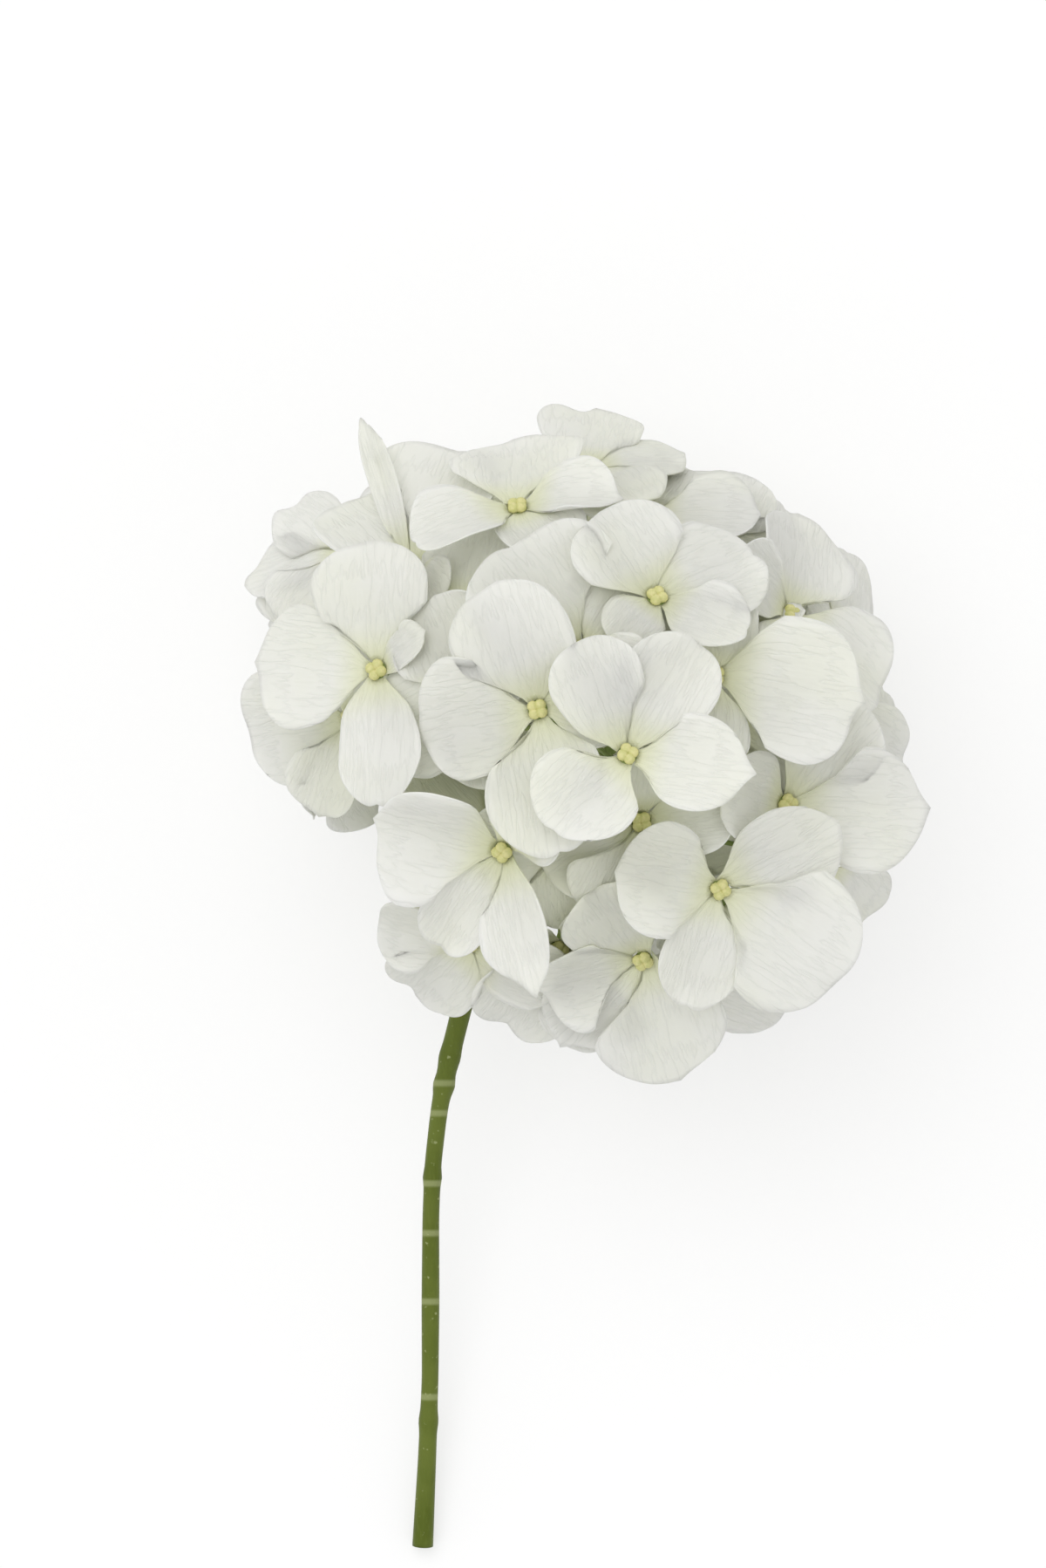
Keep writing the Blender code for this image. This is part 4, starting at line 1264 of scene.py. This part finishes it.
@dataclass
class Studio:
    """Floor, lamps and camera."""

    centre: Vector
    aim: Range = (-13.0, -9.8)  # from the centre of the head, in millimetres
    view_height: float = 359.6  # of the surface, in millimetres
    distance: float = 3.0
    sensor: float = 36.0
    clip_end: float = 20.0
    floor_size: float = 3.0
    floor_white: Colour = (0.8, 0.8, 0.8, 1.0)
    floor_roughness: float = 0.9
    shade: float = 0.4  # share of the floor's white that a shadow can take away
    sky: float = 0.78
    sky_white: float = 1.0
    lamp: float = 0.9
    lamp_spread: float = 50.0
    lamp_turn: Range = (-20.0, -16.0)

    def floor(self) -> None:
        """A plain white surface that keeps the flower's shadow."""
        bm = bmesh.new()
        bmesh.ops.create_grid(bm, x_segments=1, y_segments=1, size=self.floor_size)
        mesh = bpy.data.meshes.new("floor")
        bm.to_mesh(mesh)
        bm.free()
        thing = bpy.data.objects.new("floor", mesh)
        bpy.context.scene.collection.objects.link(thing)
        graph = Graph("floor_white")
        rays = graph.node("ShaderNodeLightPath")
        mirrored = graph.math("MAXIMUM", rays.outputs["Is Glossy Ray"], rays.outputs["Is Transmission Ray"])
        seen = graph.math("MAXIMUM", rays.outputs["Is Camera Ray"], mirrored)
        shaded = (self.shade, self.shade, self.shade, 1.0)
        graph.set(Socket.COLOUR, graph.mix(seen, self.floor_white, shaded))
        graph.set(Socket.ROUGHNESS, self.floor_roughness)
        graph.set(Socket.SPECULAR, 0.0)
        graph.set(Socket.GLOW, (1.0, 1.0, 1.0, 1.0))
        graph.set(Socket.GLOW_STRENGTH, graph.math("MULTIPLY", seen, 1.0 - self.shade))
        mesh.materials.append(graph.material)

    def lamps(self) -> None:
        """An even white sky and one broad soft lamp."""
        world = bpy.data.worlds.new("sky")
        world.use_nodes = True
        background = world.node_tree.nodes["Background"]
        background.inputs["Color"].default_value = (1.0, 1.0, 1.0, 1.0)
        tree = world.node_tree
        rays = tree.nodes.new("ShaderNodeLightPath")
        seen = tree.nodes.new("ShaderNodeMapRange")
        tree.links.new(rays.outputs["Is Camera Ray"], seen.inputs["Value"])
        seen.inputs["To Min"].default_value = self.sky
        seen.inputs["To Max"].default_value = self.sky_white
        tree.links.new(seen.outputs[0], background.inputs["Strength"])
        bpy.context.scene.world = world
        sun = bpy.data.lights.new("soft_lamp", "SUN")
        sun.energy = self.lamp
        sun.angle = math.radians(self.lamp_spread)
        thing = bpy.data.objects.new("soft_lamp", sun)
        thing.rotation_euler = (*map(math.radians, self.lamp_turn), 0.0)
        bpy.context.scene.collection.objects.link(thing)

    def camera(self) -> None:
        """A long lens that looks straight down, with the flower head at the top."""
        data = bpy.data.cameras.new("camera")
        data.sensor_width = self.sensor
        data.lens = self.sensor * self.distance / (self.view_height * MM)
        data.clip_end = self.clip_end
        thing = bpy.data.objects.new("camera", data)
        spot = Vector((self.aim[0], self.aim[1], 0.0)) * MM + self.centre
        thing.location = spot + Vector((0.0, 0.0, self.distance))
        bpy.context.scene.collection.objects.link(thing)
        bpy.context.scene.camera = thing
        bpy.context.scene.view_settings.view_transform = "Standard"


@dataclass
class Hydrangea:
    """The whole flower and the room it is seen in."""

    stem: Stem = field(default_factory=Stem)
    layout: Layout = field(default_factory=Layout)
    stalks: Stalks = field(default_factory=Stalks)

    def head_centre(self) -> Vector:
        """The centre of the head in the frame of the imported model, read from the stem's corner."""
        low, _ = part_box("stem")
        return low - self.stem.low_corner() * MM

    def build(self) -> None:
        """Makes every piece and reports it."""
        workshop = Workshop(self.head_centre())
        stem, layout = self.stem, self.layout
        layout.plant()
        layout.grow()
        layout.settle()
        LOG.info("head: %d florets, %d petals", len(layout.florets), len(layout.petals))
        rings = tuple(workshop.centre.y + ring * MM for ring in stem.rings)
        stem_green = StalkFinish(
            "hydrangea_stem", (0.090, 0.122, 0.010, 1.0), (0.135, 0.172, 0.026, 1.0), rings
        )
        young_green = StalkFinish("hydrangea_stalk", (0.24, 0.33, 0.09, 1.0), (0.36, 0.44, 0.16, 1.0))
        young = young_green.material()
        stem.build(workshop, stem_green.material(), young)
        routes = self.stalks.choose(layout, stem.ray_routes())
        bloom = Bloom(layout, self.stalks)
        petal_finish = PetalFinish(tuple(workshop.centre)).material()
        bud_finish = BudFinish().material()
        for floret in layout.florets:
            bloom.petals(workshop, floret, petal_finish)
            bloom.heart(workshop, floret, routes[floret.name], bud_finish, young)
            LOG.info("%s: built", floret.name)
        studio = Studio(workshop.centre)
        studio.floor()
        studio.lamps()
        studio.camera()


def main() -> None:
    """Builds the flower."""
    logging.basicConfig(level=logging.INFO, format="%(message)s")
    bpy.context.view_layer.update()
    Hydrangea().build()


if __name__ == "__main__":
    main()
